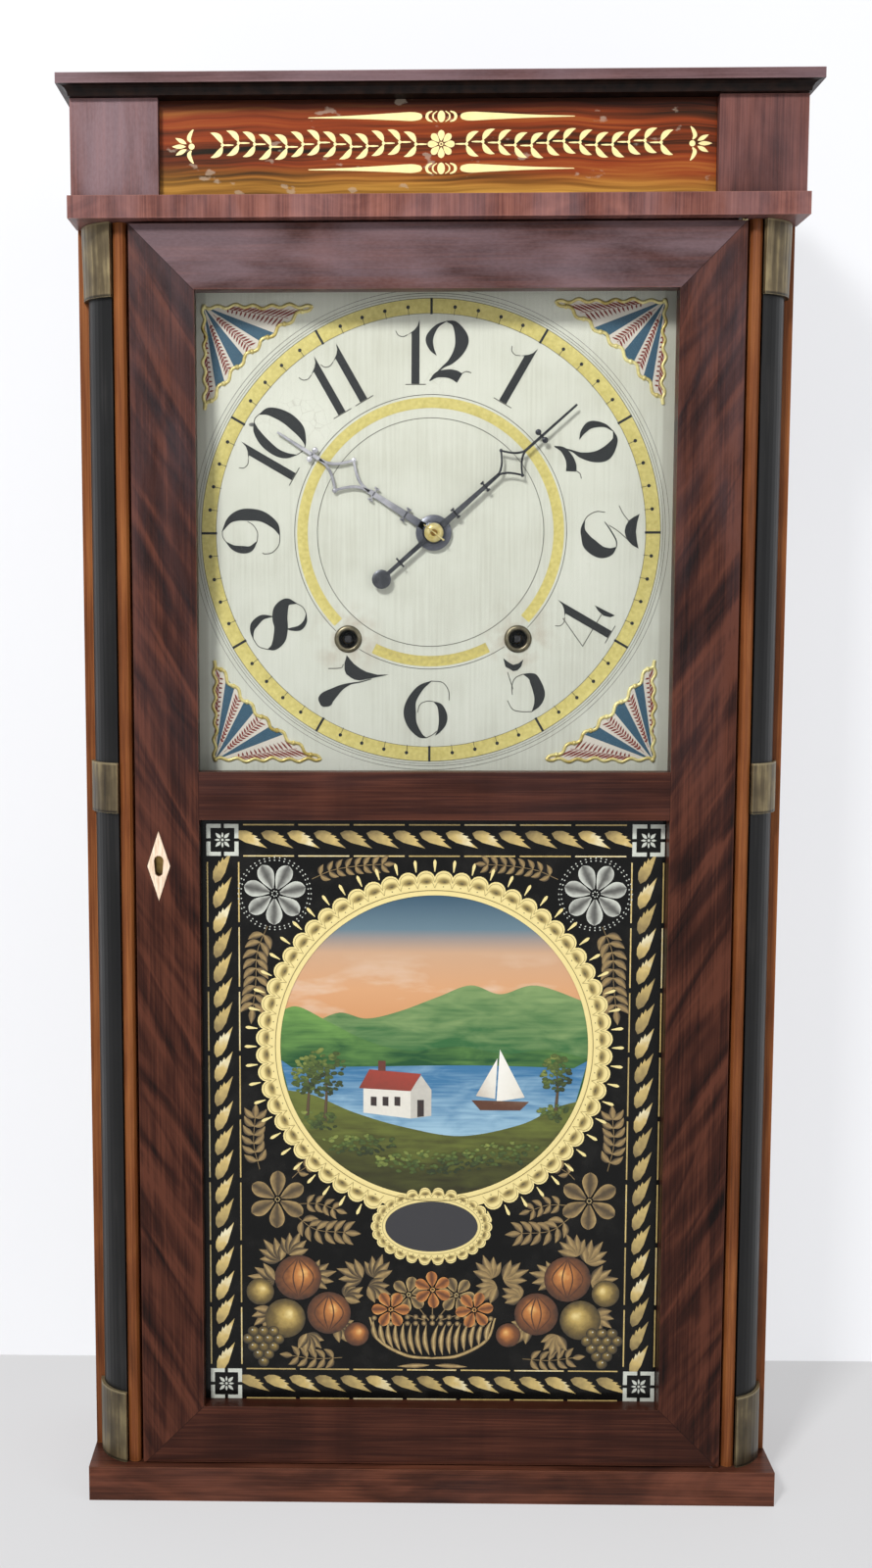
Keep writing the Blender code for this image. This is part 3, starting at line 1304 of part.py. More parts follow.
def fly_outline():
    half = FLY_VANE_THICK / 2
    hub = 1.3 * ARBOR_RADIUS
    lean = math.asin(half / hub)
    upper = arc(hub, lean, math.pi - lean, 4)
    lower = arc(hub, math.pi + lean, 2 * math.pi - lean, 4)
    left, right = [(-FLY_RADIUS, half), (-FLY_RADIUS, -half)], [(FLY_RADIUS, -half), (FLY_RADIUS, half)]
    return upper + left + lower + right


def build_hammer():
    """Tail towards the pins, stem hanging behind the back plate, head beside the bell's rim."""
    bell = (BELL_X, -BELL_DROP)
    span = math.dist(HAMMER, bell)
    touch = BELL_RADIUS + HAMMER_HEAD + HAMMER_CLEAR
    swing = math.acos((span**2 + HAMMER_STEM**2 - touch**2) / (2 * span * HAMMER_STEM))
    towards_bell = math.atan2(bell[1] - HAMMER[1], bell[0] - HAMMER[0])
    towards_pins = math.atan2(STRIKE_SECOND[1] - HAMMER[1], STRIKE_SECOND[0] - HAMMER[0])
    tail_length = math.dist(HAMMER, STRIKE_SECOND) - PIN_CIRCLE - STRIKE_PIN_RADIUS - TAIL_CLEAR - TAIL_HALF
    tail = turned(arm_outline(HAMMER_HUB, tail_length, TAIL_HALF, TAIL_HALF), towards_pins)
    stem_turn = towards_bell - swing
    stem = turned(arm_outline(HAMMER_HUB, HAMMER_STEM, STEM_HALF, HAMMER_HEAD), stem_turn)
    head = circle(HAMMER_HEAD * 0.9, 12, polar((0.0, 0.0), HAMMER_STEM, math.degrees(stem_turn)))
    tail_start = SECOND_LAYER + WHEEL_THICK + GAP
    slices = pivoted(HAMMER, [(tail_start, tail_start + HAMMER_THICK, tail, [])])
    arbor = slices[1][2]
    slices = slices[:-2] + [
        (slices[-2][0], HAMMER_LAYER, arbor, []),
        (HAMMER_LAYER, HAMMER_LAYER + HAMMER_THICK, in_world(stem, HAMMER), []),
        (HAMMER_LAYER + HAMMER_THICK, BELL_FRONT + BELL_DEPTH, in_world(head, HAMMER), []),
    ]
    stack("strike_hammer", "Y", at_depth(slices), IRON, on_arbor(HAMMER))


def build_bell():
    """A turned cup, mouth to the back, on a stud from the backboard."""
    centre = (BELL_X, CENTRE_Z - BELL_DROP)
    inner = BELL_RADIUS - BELL_WALL
    mouth = BELL_FRONT + BELL_DEPTH
    profile = [
        (BACKBOARD_FRONT - GAP, BELL_STUD),
        (BELL_FRONT + BELL_WALL, BELL_STUD),
        (BELL_FRONT + 1.6 * BELL_WALL, 0.60 * inner),
        (BELL_FRONT + 3.2 * BELL_WALL, 0.86 * inner),
        (mouth, inner),
        (mouth, BELL_RADIUS),
        (BELL_FRONT + 2.6 * BELL_WALL, 0.88 * BELL_RADIUS),
        (BELL_FRONT + 0.8 * BELL_WALL, 0.62 * BELL_RADIUS),
        (BELL_FRONT, 0.20 * BELL_RADIUS),
    ]
    levels = [(depth_y(depth), circle(radius, 24, centre)) for depth, radius in profile]
    loft("strike_bell", "Y", levels, BRASS)


# Weights, pulleys and cords
def weight_x(side):
    return side * (SIDE_INNER - WEIGHT_SIDE_GAP - WEIGHT_RADIUS)


def pulley_x(side):
    return weight_x(side) - side * PULLEY_RADIUS


def build_weight(name, side):
    x, y = weight_x(side), depth_y(WEIGHT_DEPTH)
    top = WEIGHT_REST + WEIGHT_HEIGHT
    bevel = 2 * WEIGHT_NECK
    profile = [
        (WEIGHT_REST, WEIGHT_RADIUS - bevel),
        (WEIGHT_REST + bevel / 2, WEIGHT_RADIUS),
        (top - bevel, WEIGHT_RADIUS),
        (top, WEIGHT_RADIUS - bevel),
        (top, WEIGHT_NECK),
        (top + WEIGHT_NECK_HEIGHT, WEIGHT_NECK),
        (top + WEIGHT_NECK_HEIGHT, WEIGHT_KNOB),
        (knob_top(), WEIGHT_KNOB),
    ]
    levels = [(z, circle(radius, 20, (x, y))) for z, radius in profile]
    loft(name, "Z", levels, IRON, (x, y, WEIGHT_REST))


def knob_top():
    return WEIGHT_REST + WEIGHT_HEIGHT + 2 * WEIGHT_NECK_HEIGHT


def build_pulley(name, side):
    """A grooved wheel with a stub axle at each side."""
    centre = (pulley_x(side), PULLEY_Z)
    groove = PULLEY_RADIUS - CORD_RADIUS - GAP
    rim = PULLEY_RADIUS + PULLEY_FLANGE
    half = PULLEY_THICK / 2
    slot = CORD_RADIUS + GAP
    profile = [
        (-half - PULLEY_STUB, PULLEY_PIN),
        (-half, PULLEY_PIN),
        (-half, rim),
        (-slot - GAP, rim),
        (-slot, groove),
        (slot, groove),
        (slot + GAP, rim),
        (half, rim),
        (half, PULLEY_PIN),
        (half + PULLEY_STUB, PULLEY_PIN),
    ]
    levels = [(depth_y(WEIGHT_DEPTH + depth), circle(radius, 20, centre)) for depth, radius in profile]
    loft(name, "Y", levels, EDGE_WOOD, (centre[0], depth_y(WEIGHT_DEPTH), PULLEY_Z))


def build_pulley_board():
    """A cross board under the top, with a slot and a pin hole for each pulley."""
    half = SIDE_INNER - GAP
    front = depth_y(PULLEY_BOARD_FRONT)
    outline = rectangle(-half, half, front, front + PULLEY_BOARD_DEPTH)
    reach = PULLEY_RADIUS + PULLEY_FLANGE + PULLEY_SLACK
    half_slot = PULLEY_THICK / 2 + RUNNING
    slots = []
    for side in (-1, 1):
        x = pulley_x(side)
        slot_front, slot_back = depth_y(WEIGHT_DEPTH - half_slot), depth_y(WEIGHT_DEPTH + half_slot)
        slots.append(rectangle(x - reach, x + reach, slot_front, slot_back))
    low, high = PULLEY_Z - PULLEY_BOARD_THICK / 2, PULLEY_Z + PULLEY_BOARD_THICK / 2
    board = stack("pulley_board", "Z", [(low, high, outline, slots)], PINE)
    bearing = PULLEY_THICK / 2 + PULLEY_STUB + RUNNING
    for side in (-1, 1):
        hole = circle(PULLEY_PIN + RUNNING, 10, (pulley_x(side), PULLEY_Z))
        slab = (WEIGHT_DEPTH - bearing, WEIGHT_DEPTH + bearing, hole, [])
        cut(board, stack(f"pulley_bearing_{side}", "Y", at_depth([slab]), STEEL))


def drum_cord_route(side):
    """From the top of the weight's cord over the pulley, then straight to the drum's outer side."""
    pulley = (pulley_x(1), PULLEY_Z)
    barrel = (WINDING[0], CENTRE_Z + WINDING[1])
    barrel_reach = DRUM_RADIUS + CORD_RADIUS + GAP
    span = math.dist(pulley, barrel)
    towards = math.atan2(barrel[1] - pulley[1], barrel[0] - pulley[0])
    leave = towards - math.acos((PULLEY_RADIUS + barrel_reach) / span) + 2 * math.pi
    high_y = depth_y(WEIGHT_DEPTH)
    low_y = depth_y(DRUM_FRONT + DRUM_LENGTH / 2)
    points = [(x, high_y, z) for x, z in arc(PULLEY_RADIUS, 0.0, leave, 12, pulley)]
    end = (barrel[0] - barrel_reach * math.cos(leave), barrel[1] - barrel_reach * math.sin(leave))
    points.append((end[0], low_y, end[1]))
    return [(side * x, y, z) for x, y, z in points]


def build_weights_and_cords():
    build_pulley_board()
    for side, train in ((1, "time"), (-1, "strike")):
        build_weight(train + "_weight", side)
        build_pulley(train + "_pulley", side)
        x, y = weight_x(side), depth_y(WEIGHT_DEPTH)
        line = [(x, y, knob_top() + GAP), (x, y, PULLEY_Z - GAP)]
        tube_along(train + "_weight_cord", line, CORD_RADIUS, CORD)
        tube_along(train + "_drum_cord", drum_cord_route(side), CORD_RADIUS, CORD)


build_case()
build_columns()
build_door()
build_dial()
build_plates()
build_train()
drum("time_drum", WINDING)
drum("strike_drum", STRIKE_WINDING)
build_hands()
build_motion_work()
build_pendulum()
build_strike()
build_weights_and_cords()
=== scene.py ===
"""Looks of the shelf clock, in metres, +Z up and the front towards -Y."""
import math

import bmesh
import bpy
import numpy as np
from mathutils import Euler, Matrix, Vector


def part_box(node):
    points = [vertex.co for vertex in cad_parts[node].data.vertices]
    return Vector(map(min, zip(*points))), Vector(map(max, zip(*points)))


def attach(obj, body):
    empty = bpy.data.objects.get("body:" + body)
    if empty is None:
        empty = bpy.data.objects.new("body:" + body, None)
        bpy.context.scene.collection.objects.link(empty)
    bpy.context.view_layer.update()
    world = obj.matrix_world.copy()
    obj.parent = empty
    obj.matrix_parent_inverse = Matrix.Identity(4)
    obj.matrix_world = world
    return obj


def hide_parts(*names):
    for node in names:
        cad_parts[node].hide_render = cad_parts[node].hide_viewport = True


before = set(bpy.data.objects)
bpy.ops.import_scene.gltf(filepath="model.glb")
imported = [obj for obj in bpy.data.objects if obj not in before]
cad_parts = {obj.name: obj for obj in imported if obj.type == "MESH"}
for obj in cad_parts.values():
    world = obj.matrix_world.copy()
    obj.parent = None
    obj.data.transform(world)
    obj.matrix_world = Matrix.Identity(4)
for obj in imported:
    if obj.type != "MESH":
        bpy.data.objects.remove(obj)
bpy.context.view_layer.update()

# The camera stands a little left of the clock and just above its middle, 1.15 m before the door.
# It is a plain lens of 40.5 mm, shifted so that the whole case stands in the frame.
camera_data = bpy.data.cameras.new("photo_camera")
camera_data.sensor_width = 36.0
camera_data.lens = 40.5
camera_data.shift_x = 0.0701
camera_data.shift_y = 0.0037
camera = bpy.data.objects.new("photo_camera", camera_data)
bpy.context.scene.collection.objects.link(camera)
camera.location = (-0.0464, -1.2125, 0.6138)
aim = Euler((math.pi / 2 - 0.1076, 0.0, 0.0211)).to_matrix() @ Matrix.Rotation(-0.0012, 3, "Z")
camera.rotation_euler = aim.to_euler()
bpy.context.scene.camera = camera
bpy.context.scene.view_settings.view_transform = "Standard"


# The backboard and the board that carries the pulleys are plain sawn pine, nailed up from behind.
# They were never varnished, so they have gone dry and brown.
def linear(red, green, blue):
    """A colour seen as 0 to 255 on a screen, as the linear values that a shader takes."""
    shares = [value / 255 for value in (red, green, blue)]
    return (*[s / 12.92 if s <= 0.04045 else ((s + 0.055) / 1.055) ** 2.4 for s in shares], 1.0)


def feed(tree, item, inputs):
    """Links each input that is another node's socket, and sets each that is a value."""
    for key, value in inputs.items():
        if isinstance(value, bpy.types.NodeSocket):
            tree.links.new(value, item.inputs[key])
        else:
            item.inputs[key].default_value = value
    return item


def put(tree, kind, inputs=None, **settings):
    """A new shader node with its settings and inputs."""
    item = tree.nodes.new("ShaderNode" + kind)
    for key, value in settings.items():
        setattr(item, key, value)
    return feed(tree, item, inputs or {})


def calc(tree, operation, *values):
    """One step of arithmetic on values or sockets."""
    return put(tree, "Math", dict(enumerate(values)), operation=operation).outputs[0]


def spread(tree, value, low, high):
    """(value - low) / (high - low), held between 0 and 1."""
    return put(tree, "MapRange", {"Value": value, "From Min": low, "From Max": high}).outputs[0]


def stretched(tree, place, x, y, z):
    """The place with each of its coordinates multiplied by its own number."""
    return put(tree, "VectorMath", {0: place, 1: (x, y, z)}, operation="MULTIPLY").outputs[0]


def noise(tree, place, scale=1.0, detail=3.0, distortion=0.0):
    """Smooth random values about 0.5, at so many to the metre."""
    sockets = {"Vector": place, "Scale": scale, "Detail": detail, "Distortion": distortion}
    return put(tree, "TexNoise", sockets).outputs["Fac"]


def ramp(tree, value, *stops):
    """The colour at a value, between the screen colours given for certain values."""
    item = put(tree, "ValToRGB", {"Fac": value})
    elements = item.color_ramp.elements
    elements.remove(elements[1])
    elements[0].position = stops[0][0]
    elements[0].color = linear(*stops[0][1])
    for position, colour in stops[1:]:
        elements.new(position).color = linear(*colour)
    return item.outputs["Color"]


def mixed(tree, share, first, second):
    """First colour where share is 0 and second where it is 1."""
    return put(tree, "Mix", {0: share, 6: first, 7: second}, data_type="RGBA").outputs[2]


def laid_over(tree, colour, over, share, amount=1.0):
    """The colour with another, a screen colour, laid thinly over it: a mix by share x amount."""
    return mixed(tree, calc(tree, "MULTIPLY", share, amount), colour, linear(*over))


def blend(tree, first, share, second):
    """share x first + (1 - share) x second."""
    part = calc(tree, "MULTIPLY", first, share)
    return calc(tree, "ADD", part, calc(tree, "MULTIPLY", second, 1 - share))


def raised(tree, shader, height, distance, strength):
    """Tilts the surface as if it rose and fell by height x distance."""
    item = put(tree, "Bump", {"Height": height, "Distance": distance, "Strength": strength})
    tree.links.new(item.outputs[0], shader.inputs["Normal"])


def finish_of(name, roughness=0.5, metallic=0.0, coat=0.0, coat_roughness=0.1, specular=0.5):
    """A new material with its tree, its shader and the point's own place in metres."""
    material = bpy.data.materials.new(name)
    material.use_nodes = True
    tree = material.node_tree
    shader = tree.nodes["Principled BSDF"]
    shader.inputs["Roughness"].default_value = roughness
    shader.inputs["Metallic"].default_value = metallic
    shader.inputs["Coat Weight"].default_value = coat
    shader.inputs["Coat Roughness"].default_value = coat_roughness
    shader.inputs["Specular IOR Level"].default_value = specular
    place = put(tree, "TexCoord").outputs["Object"]
    return material, tree, shader, place


def apart(tree, place):
    """The x, y and z of a place."""
    return put(tree, "SeparateXYZ", {0: place}).outputs


def together(tree, x, y=0.0, z=0.0):
    """A place from its x, y and z."""
    return put(tree, "CombineXYZ", {0: x, 1: y, 2: z}).outputs[0]


def shared_effect(name, inputs, outputs):
    """An empty node group with named sockets, for an effect that several materials use."""
    group = bpy.data.node_groups.new(name, "ShaderNodeTree")
    for socket, kind in inputs.items():
        group.interface.new_socket(socket, in_out="INPUT", socket_type="NodeSocket" + kind)
    for socket, kind in outputs.items():
        group.interface.new_socket(socket, in_out="OUTPUT", socket_type="NodeSocket" + kind)
    given = group.nodes.new("NodeGroupInput").outputs
    result = group.nodes.new("NodeGroupOutput")
    return group, given, result


def use(tree, group, **inputs):
    """A shared effect placed in a material. Underscores in the names stand for spaces."""
    item = tree.nodes.new("ShaderNodeGroup")
    item.node_tree = group
    return feed(tree, item, {key.replace("_", " "): value for key, value in inputs.items()}).outputs


def wood_grain():
    """Tone = 0.42 x fine fibres + 0.42 x bands + figure amount x cloudy figure. Fibres run along x."""
    inputs = {"Fibre Place": "Vector", "Figure Place": "Vector", "Figure Amount": "Float"}
    outputs = {"Tone": "Float", "Band": "Float", "Relief": "Float"}
    group, given, result = shared_effect("wood grain", inputs, outputs)
    place = given["Fibre Place"]
    fibre = noise(group, stretched(group, place, 16.0, 800.0, 0.0), 1.0, 5.0)
    band = noise(group, stretched(group, place, 5.0, 95.0, 0.0), 1.0, 4.0, 0.6)
    pores = noise(group, stretched(group, place, 160.0, 2600.0, 0.0), 1.0, 2.0)
    figure = calc(group, "SUBTRACT", noise(group, given["Figure Place"], 1.0, 3.0, 1.2), 0.5)
    value = calc(group, "MULTIPLY_ADD", fibre, 0.42, 0.075)
    value = calc(group, "MULTIPLY_ADD", band, 0.42, value)
    value = calc(group, "MULTIPLY_ADD", figure, given["Figure Amount"], value)
    relief = calc(group, "MULTIPLY_ADD", pores, 0.4, fibre)
    feed(group, result, {"Tone": value, "Band": band, "Relief": relief})
    return group


def edge_wear():
    """1 where the surface turns within a short distance, as on a rubbed edge, and 0 on open faces."""
    group, given, result = shared_effect("edge wear", {"Width": "Float"}, {"Wear": "Float"})
    soft = put(group, "Bevel", {"Radius": given["Width"]}, samples=4).outputs[0]
    hard = put(group, "NewGeometry").outputs["Normal"]
    same = put(group, "VectorMath", {0: soft, 1: hard}, operation="DOT_PRODUCT").outputs["Value"]
    feed(group, result, {"Wear": spread(group, same, 0.985, 0.80)})
    return group


def painted_polish_sheen():
    """Painted sheen of old polish: amount x (0.75 x clouds streaked along the place's x + 0.5 x flecks)."""
    inputs = {"Place": "Vector", "Amount": "Float"}
    group, given, result = shared_effect("polish bloom", inputs, {"Pale_Sheen": "Float"})
    cloud = noise(group, stretched(group, given["Place"], 9.0, 34.0, 0.0), 1.0, 5.0, 0.5)
    fleck = noise(group, stretched(group, given["Place"], 300.0, 700.0, 0.0), 1.0, 3.0)
    flecks = calc(group, "MULTIPLY", fleck, 0.5)
    patch = calc(group, "MULTIPLY_ADD", spread(group, cloud, 0.38, 0.60), 0.75, flecks)
    feed(group, result, {"Pale_Sheen": calc(group, "MULTIPLY", patch, given["Amount"])})
    return group


GRAIN = wood_grain()
WEAR = edge_wear()
PAINTED_SHEEN = painted_polish_sheen()
# The pale plum colour of the painted sheen, a reflection laid into the wood's colour.
PAINTED_SHEEN_TINT = (142, 120, 126)


def wood_finish(tree, shader, fibres, figure_place, tones, figure, painted_sheen):
    """Sets the colour, sheen and relief of a wood. Its tones are the darkest, the middle, the lightest and
    the rubbed edge's. Gives back the colour."""
    grain = use(tree, GRAIN, Fibre_Place=fibres, Figure_Place=figure_place, Figure_Amount=figure)
    dark, middle, light, worn = tones
    colour = ramp(tree, grain["Tone"], (0.26, dark), (0.46, middle), (0.66, light))
    # Painted sheen: a pale reflection laid over the colour by the given amount.
    sheen_share = use(tree, PAINTED_SHEEN, Place=fibres, Amount=painted_sheen)["Pale_Sheen"]
    colour = laid_over(tree, colour, PAINTED_SHEEN_TINT, sheen_share)
    colour = laid_over(tree, colour, worn, use(tree, WEAR, Width=0.0011)["Wear"], 0.5)
    gloss = calc(tree, "MULTIPLY_ADD", grain["Band"], 0.25, 0.24)
    feed(tree, shader, {"Base Color": colour, "Roughness": gloss})
    raised(tree, shader, grain["Relief"], 0.00012, 0.35)
    return colour


def board(name, grain, tones, figure=0.5, painted_sheen=0.0, coat=0.04, figure_scale=(9.0, 26.0)):
    """Wood with its fibres along X or Z on every face of the piece, or SHORT: up and over a moulding."""
    material, tree, shader, place = finish_of(name, coat=coat, coat_roughness=0.2, specular=0.11)
    x, y, z = apart(tree, place)
    along, across = {
        "X": (x, calc(tree, "ADD", z, y)),
        "Z": (z, calc(tree, "ADD", x, y)),
        "SHORT": (calc(tree, "ADD", z, y), x),
    }[grain]
    fibres = together(tree, along, across)
    wood_finish(tree, shader, fibres, stretched(tree, fibres, *figure_scale, 0.0), tones, figure, painted_sheen)
    return material


def reopened(material):
    """The tree, the shader and the colour so far of a material, and the point's own place."""
    tree = material.node_tree
    shader = tree.nodes["Principled BSDF"]
    colour = shader.inputs["Base Color"].links[0].from_socket
    return tree, shader, colour, put(tree, "TexCoord").outputs["Object"]


def dress(material, *names):
    """Gives CAD nodes this material in every one of their slots."""
    for name in names:
        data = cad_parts[name].data
        slots = max(1, len(data.materials))
        data.materials.clear()
        for _ in range(slots):
            data.materials.append(material)


PINE = ((120, 92, 60), (170, 138, 96), (196, 166, 122), (206, 180, 140))
dress(board("upright_pine", "Z", PINE, 0.4, coat=0.0), "backboard")
dress(board("level_pine", "X", PINE, 0.4, coat=0.0), "pulley_board")

# The sides and the posts beside the door are solid boards, oiled and rubbed to a lighter orange-brown.
# The base board in front is veneered, with its grain running along it.
SIDE_TONES = ((54, 27, 12), (112, 62, 32), (152, 94, 50), (172, 116, 70))
dress(
    board("side_wood", "Z", SIDE_TONES, 0.3),
    "side_panel_left", "side_panel_right", "column_post_left", "column_post_right",
)
BASE_TONES = ((28, 13, 9), (72, 39, 26), (108, 62, 44), (132, 88, 66))
dress(board("base_veneer", "X", BASE_TONES, 0.75, 0.03), "base_board")

# The waist moulding is veneered with short grain that crosses it, as thin strips laid side by side.
# A milky painted sheen, standing for the reflection of light from above, lies over the wood in places.
WAIST_TONES = ((48, 25, 20), (100, 56, 46), (140, 88, 74), (164, 116, 102))
dress(board("waist_cross_veneer", "SHORT", WAIST_TONES, 0.5, 0.25, 0.08, (30.0, 22.0)), "waist_moulding")

# The frieze blocks are veneered upright, over glue blocks. A plum grey painted sheen stands for the
# gloss reflection on them, stronger on the left block.
BLOCK_TONES = ((34, 17, 14), (78, 44, 37), (114, 70, 61), (150, 106, 98))
dress(board("left_block_veneer", "Z", BLOCK_TONES, 0.8, 0.58), "frieze_block_left")
dress(board("right_block_veneer", "Z", BLOCK_TONES, 0.8, 0.14), "frieze_block_right")

# The cornice is a flat board with a small cove stuck under it. The board's edge carries a pale painted
# sheen, and the cove is painted near black, as shade under the board.
CORNICE_TONES = ((38, 21, 19), (76, 49, 47), (110, 79, 78), (156, 130, 131))
COVE_TOP = 0.9335
cornice = board("cornice_veneer", "X", CORNICE_TONES, 0.45, 0.4, 0.06)
tree, shader, veneer_colour, place = reopened(cornice)
# Below the board's foot, in the cove, the colour is painted shade, near black.
below = spread(tree, apart(tree, place)[2], COVE_TOP + 0.0003, COVE_TOP)
painted_cove_shade = ramp(tree, noise(tree, place, 160.0, 4.0), (0.3, (9, 5, 4)), (0.7, (34, 19, 13)))
feed(tree, shader, {"Base Color": mixed(tree, below, veneer_colour, painted_cove_shade)})
dress(cornice, "cornice")


# The frieze tablet is glass painted on its back: streaked graining of red-brown and ochre behind gilt
# stencils, with flakes where the paint has let go.
def frieze_graining():
    """Level streaks that sway a little: noise of (slow x, fast z), redder above, more ochre at the foot."""
    foot, top = 0.8675, 0.9273
    material, tree, shader, place = finish_of(
        "frieze_graining", 0.3, coat=0.14, coat_roughness=0.04, specular=0.1,
    )
    x, _, z = apart(tree, place)
    swing = noise(tree, together(tree, calc(tree, "MULTIPLY", x, 7.0)), 1.0, 2.0)
    sway = calc(tree, "MULTIPLY", swing, 0.03)
    lines = together(tree, x, calc(tree, "ADD", z, sway))
    streak = noise(tree, stretched(tree, lines, 7.0, 300.0, 0.0), 1.0, 5.0, 0.4)
    wide = noise(tree, stretched(tree, lines, 3.0, 75.0, 0.0), 1.0, 3.0)
    value = blend(tree, streak, 0.5, wide)
    height = spread(tree, z, foot, top)
    reds = ((0.36, (30, 22, 10)), (0.45, (96, 42, 18)), (0.54, (134, 56, 24)), (0.68, (164, 96, 42)))
    red = ramp(tree, value, *reds)
    ochre = ramp(tree, value, (0.36, (44, 36, 16)), (0.48, (138, 94, 34)), (0.64, (204, 150, 66)))
    right = spread(tree, x, -0.16, 0.16)
    edge = calc(tree, "MULTIPLY_ADD", right, 0.14, calc(tree, "SUBTRACT", height, 0.10))
    colour = mixed(tree, spread(tree, edge, 0.26, 0.06), red, ochre)
    # Painted shade: darker towards the top, under the overhang of the cornice.
    colour = laid_over(tree, colour, (24, 14, 9), spread(tree, height, 0.80, 0.98), 0.85)
    flake = noise(tree, stretched(tree, place, 60.0, 60.0, 110.0), 1.0, 6.0)
    colour = laid_over(tree, colour, (186, 170, 150), spread(tree, flake, 0.655, 0.69), 0.4)
    feed(tree, shader, {"Base Color": colour})
    return material


dress(frieze_graining(), "frieze_tablet")
MM = 0.001


def eased(rows, steps=8):
    """A smooth curve through rows of values: each span is the cubic whose slope at a row is half of what lies
    between its neighbours, taken at even shares t of the span."""
    rows = np.asarray(rows, float)
    rows = np.vstack([2 * rows[0] - rows[1], rows, 2 * rows[-1] - rows[-2]])
    a, b, c, d = (rows[i : len(rows) - 3 + i, None] for i in range(4))
    t = (np.arange(steps) / steps)[None, :, None]
    spans = 2 * b + (c - a) * t + (2 * a - 5 * b + 4 * c - d) * t**2 + (3 * b - a - 3 * c + d) * t**3
    return np.vstack([spans.reshape(-1, rows.shape[1]) / 2, rows[-2:-1]])


def mounted(name, mesh, body):
    """A mesh as a piece in the scene that rides on a body."""
    piece = bpy.data.objects.new(name, mesh)
    bpy.context.scene.collection.objects.link(piece)
    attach(piece, body)
    return piece


def round_point(centre, radii, degrees):
    """A point of an oval, so many degrees clockwise from its top: (x + a sin, z + b cos)."""
    turn = np.radians(degrees)
    return np.stack([centre[0] + radii[0] * np.sin(turn), centre[1] + radii[1] * np.cos(turn)], axis=-1)


def turned(u, v, angle):
    """A place turned about the middle, against the clock: (u cos - v sin, u sin + v cos)."""
    return u * math.cos(angle) - v * math.sin(angle), u * math.sin(angle) + v * math.cos(angle)


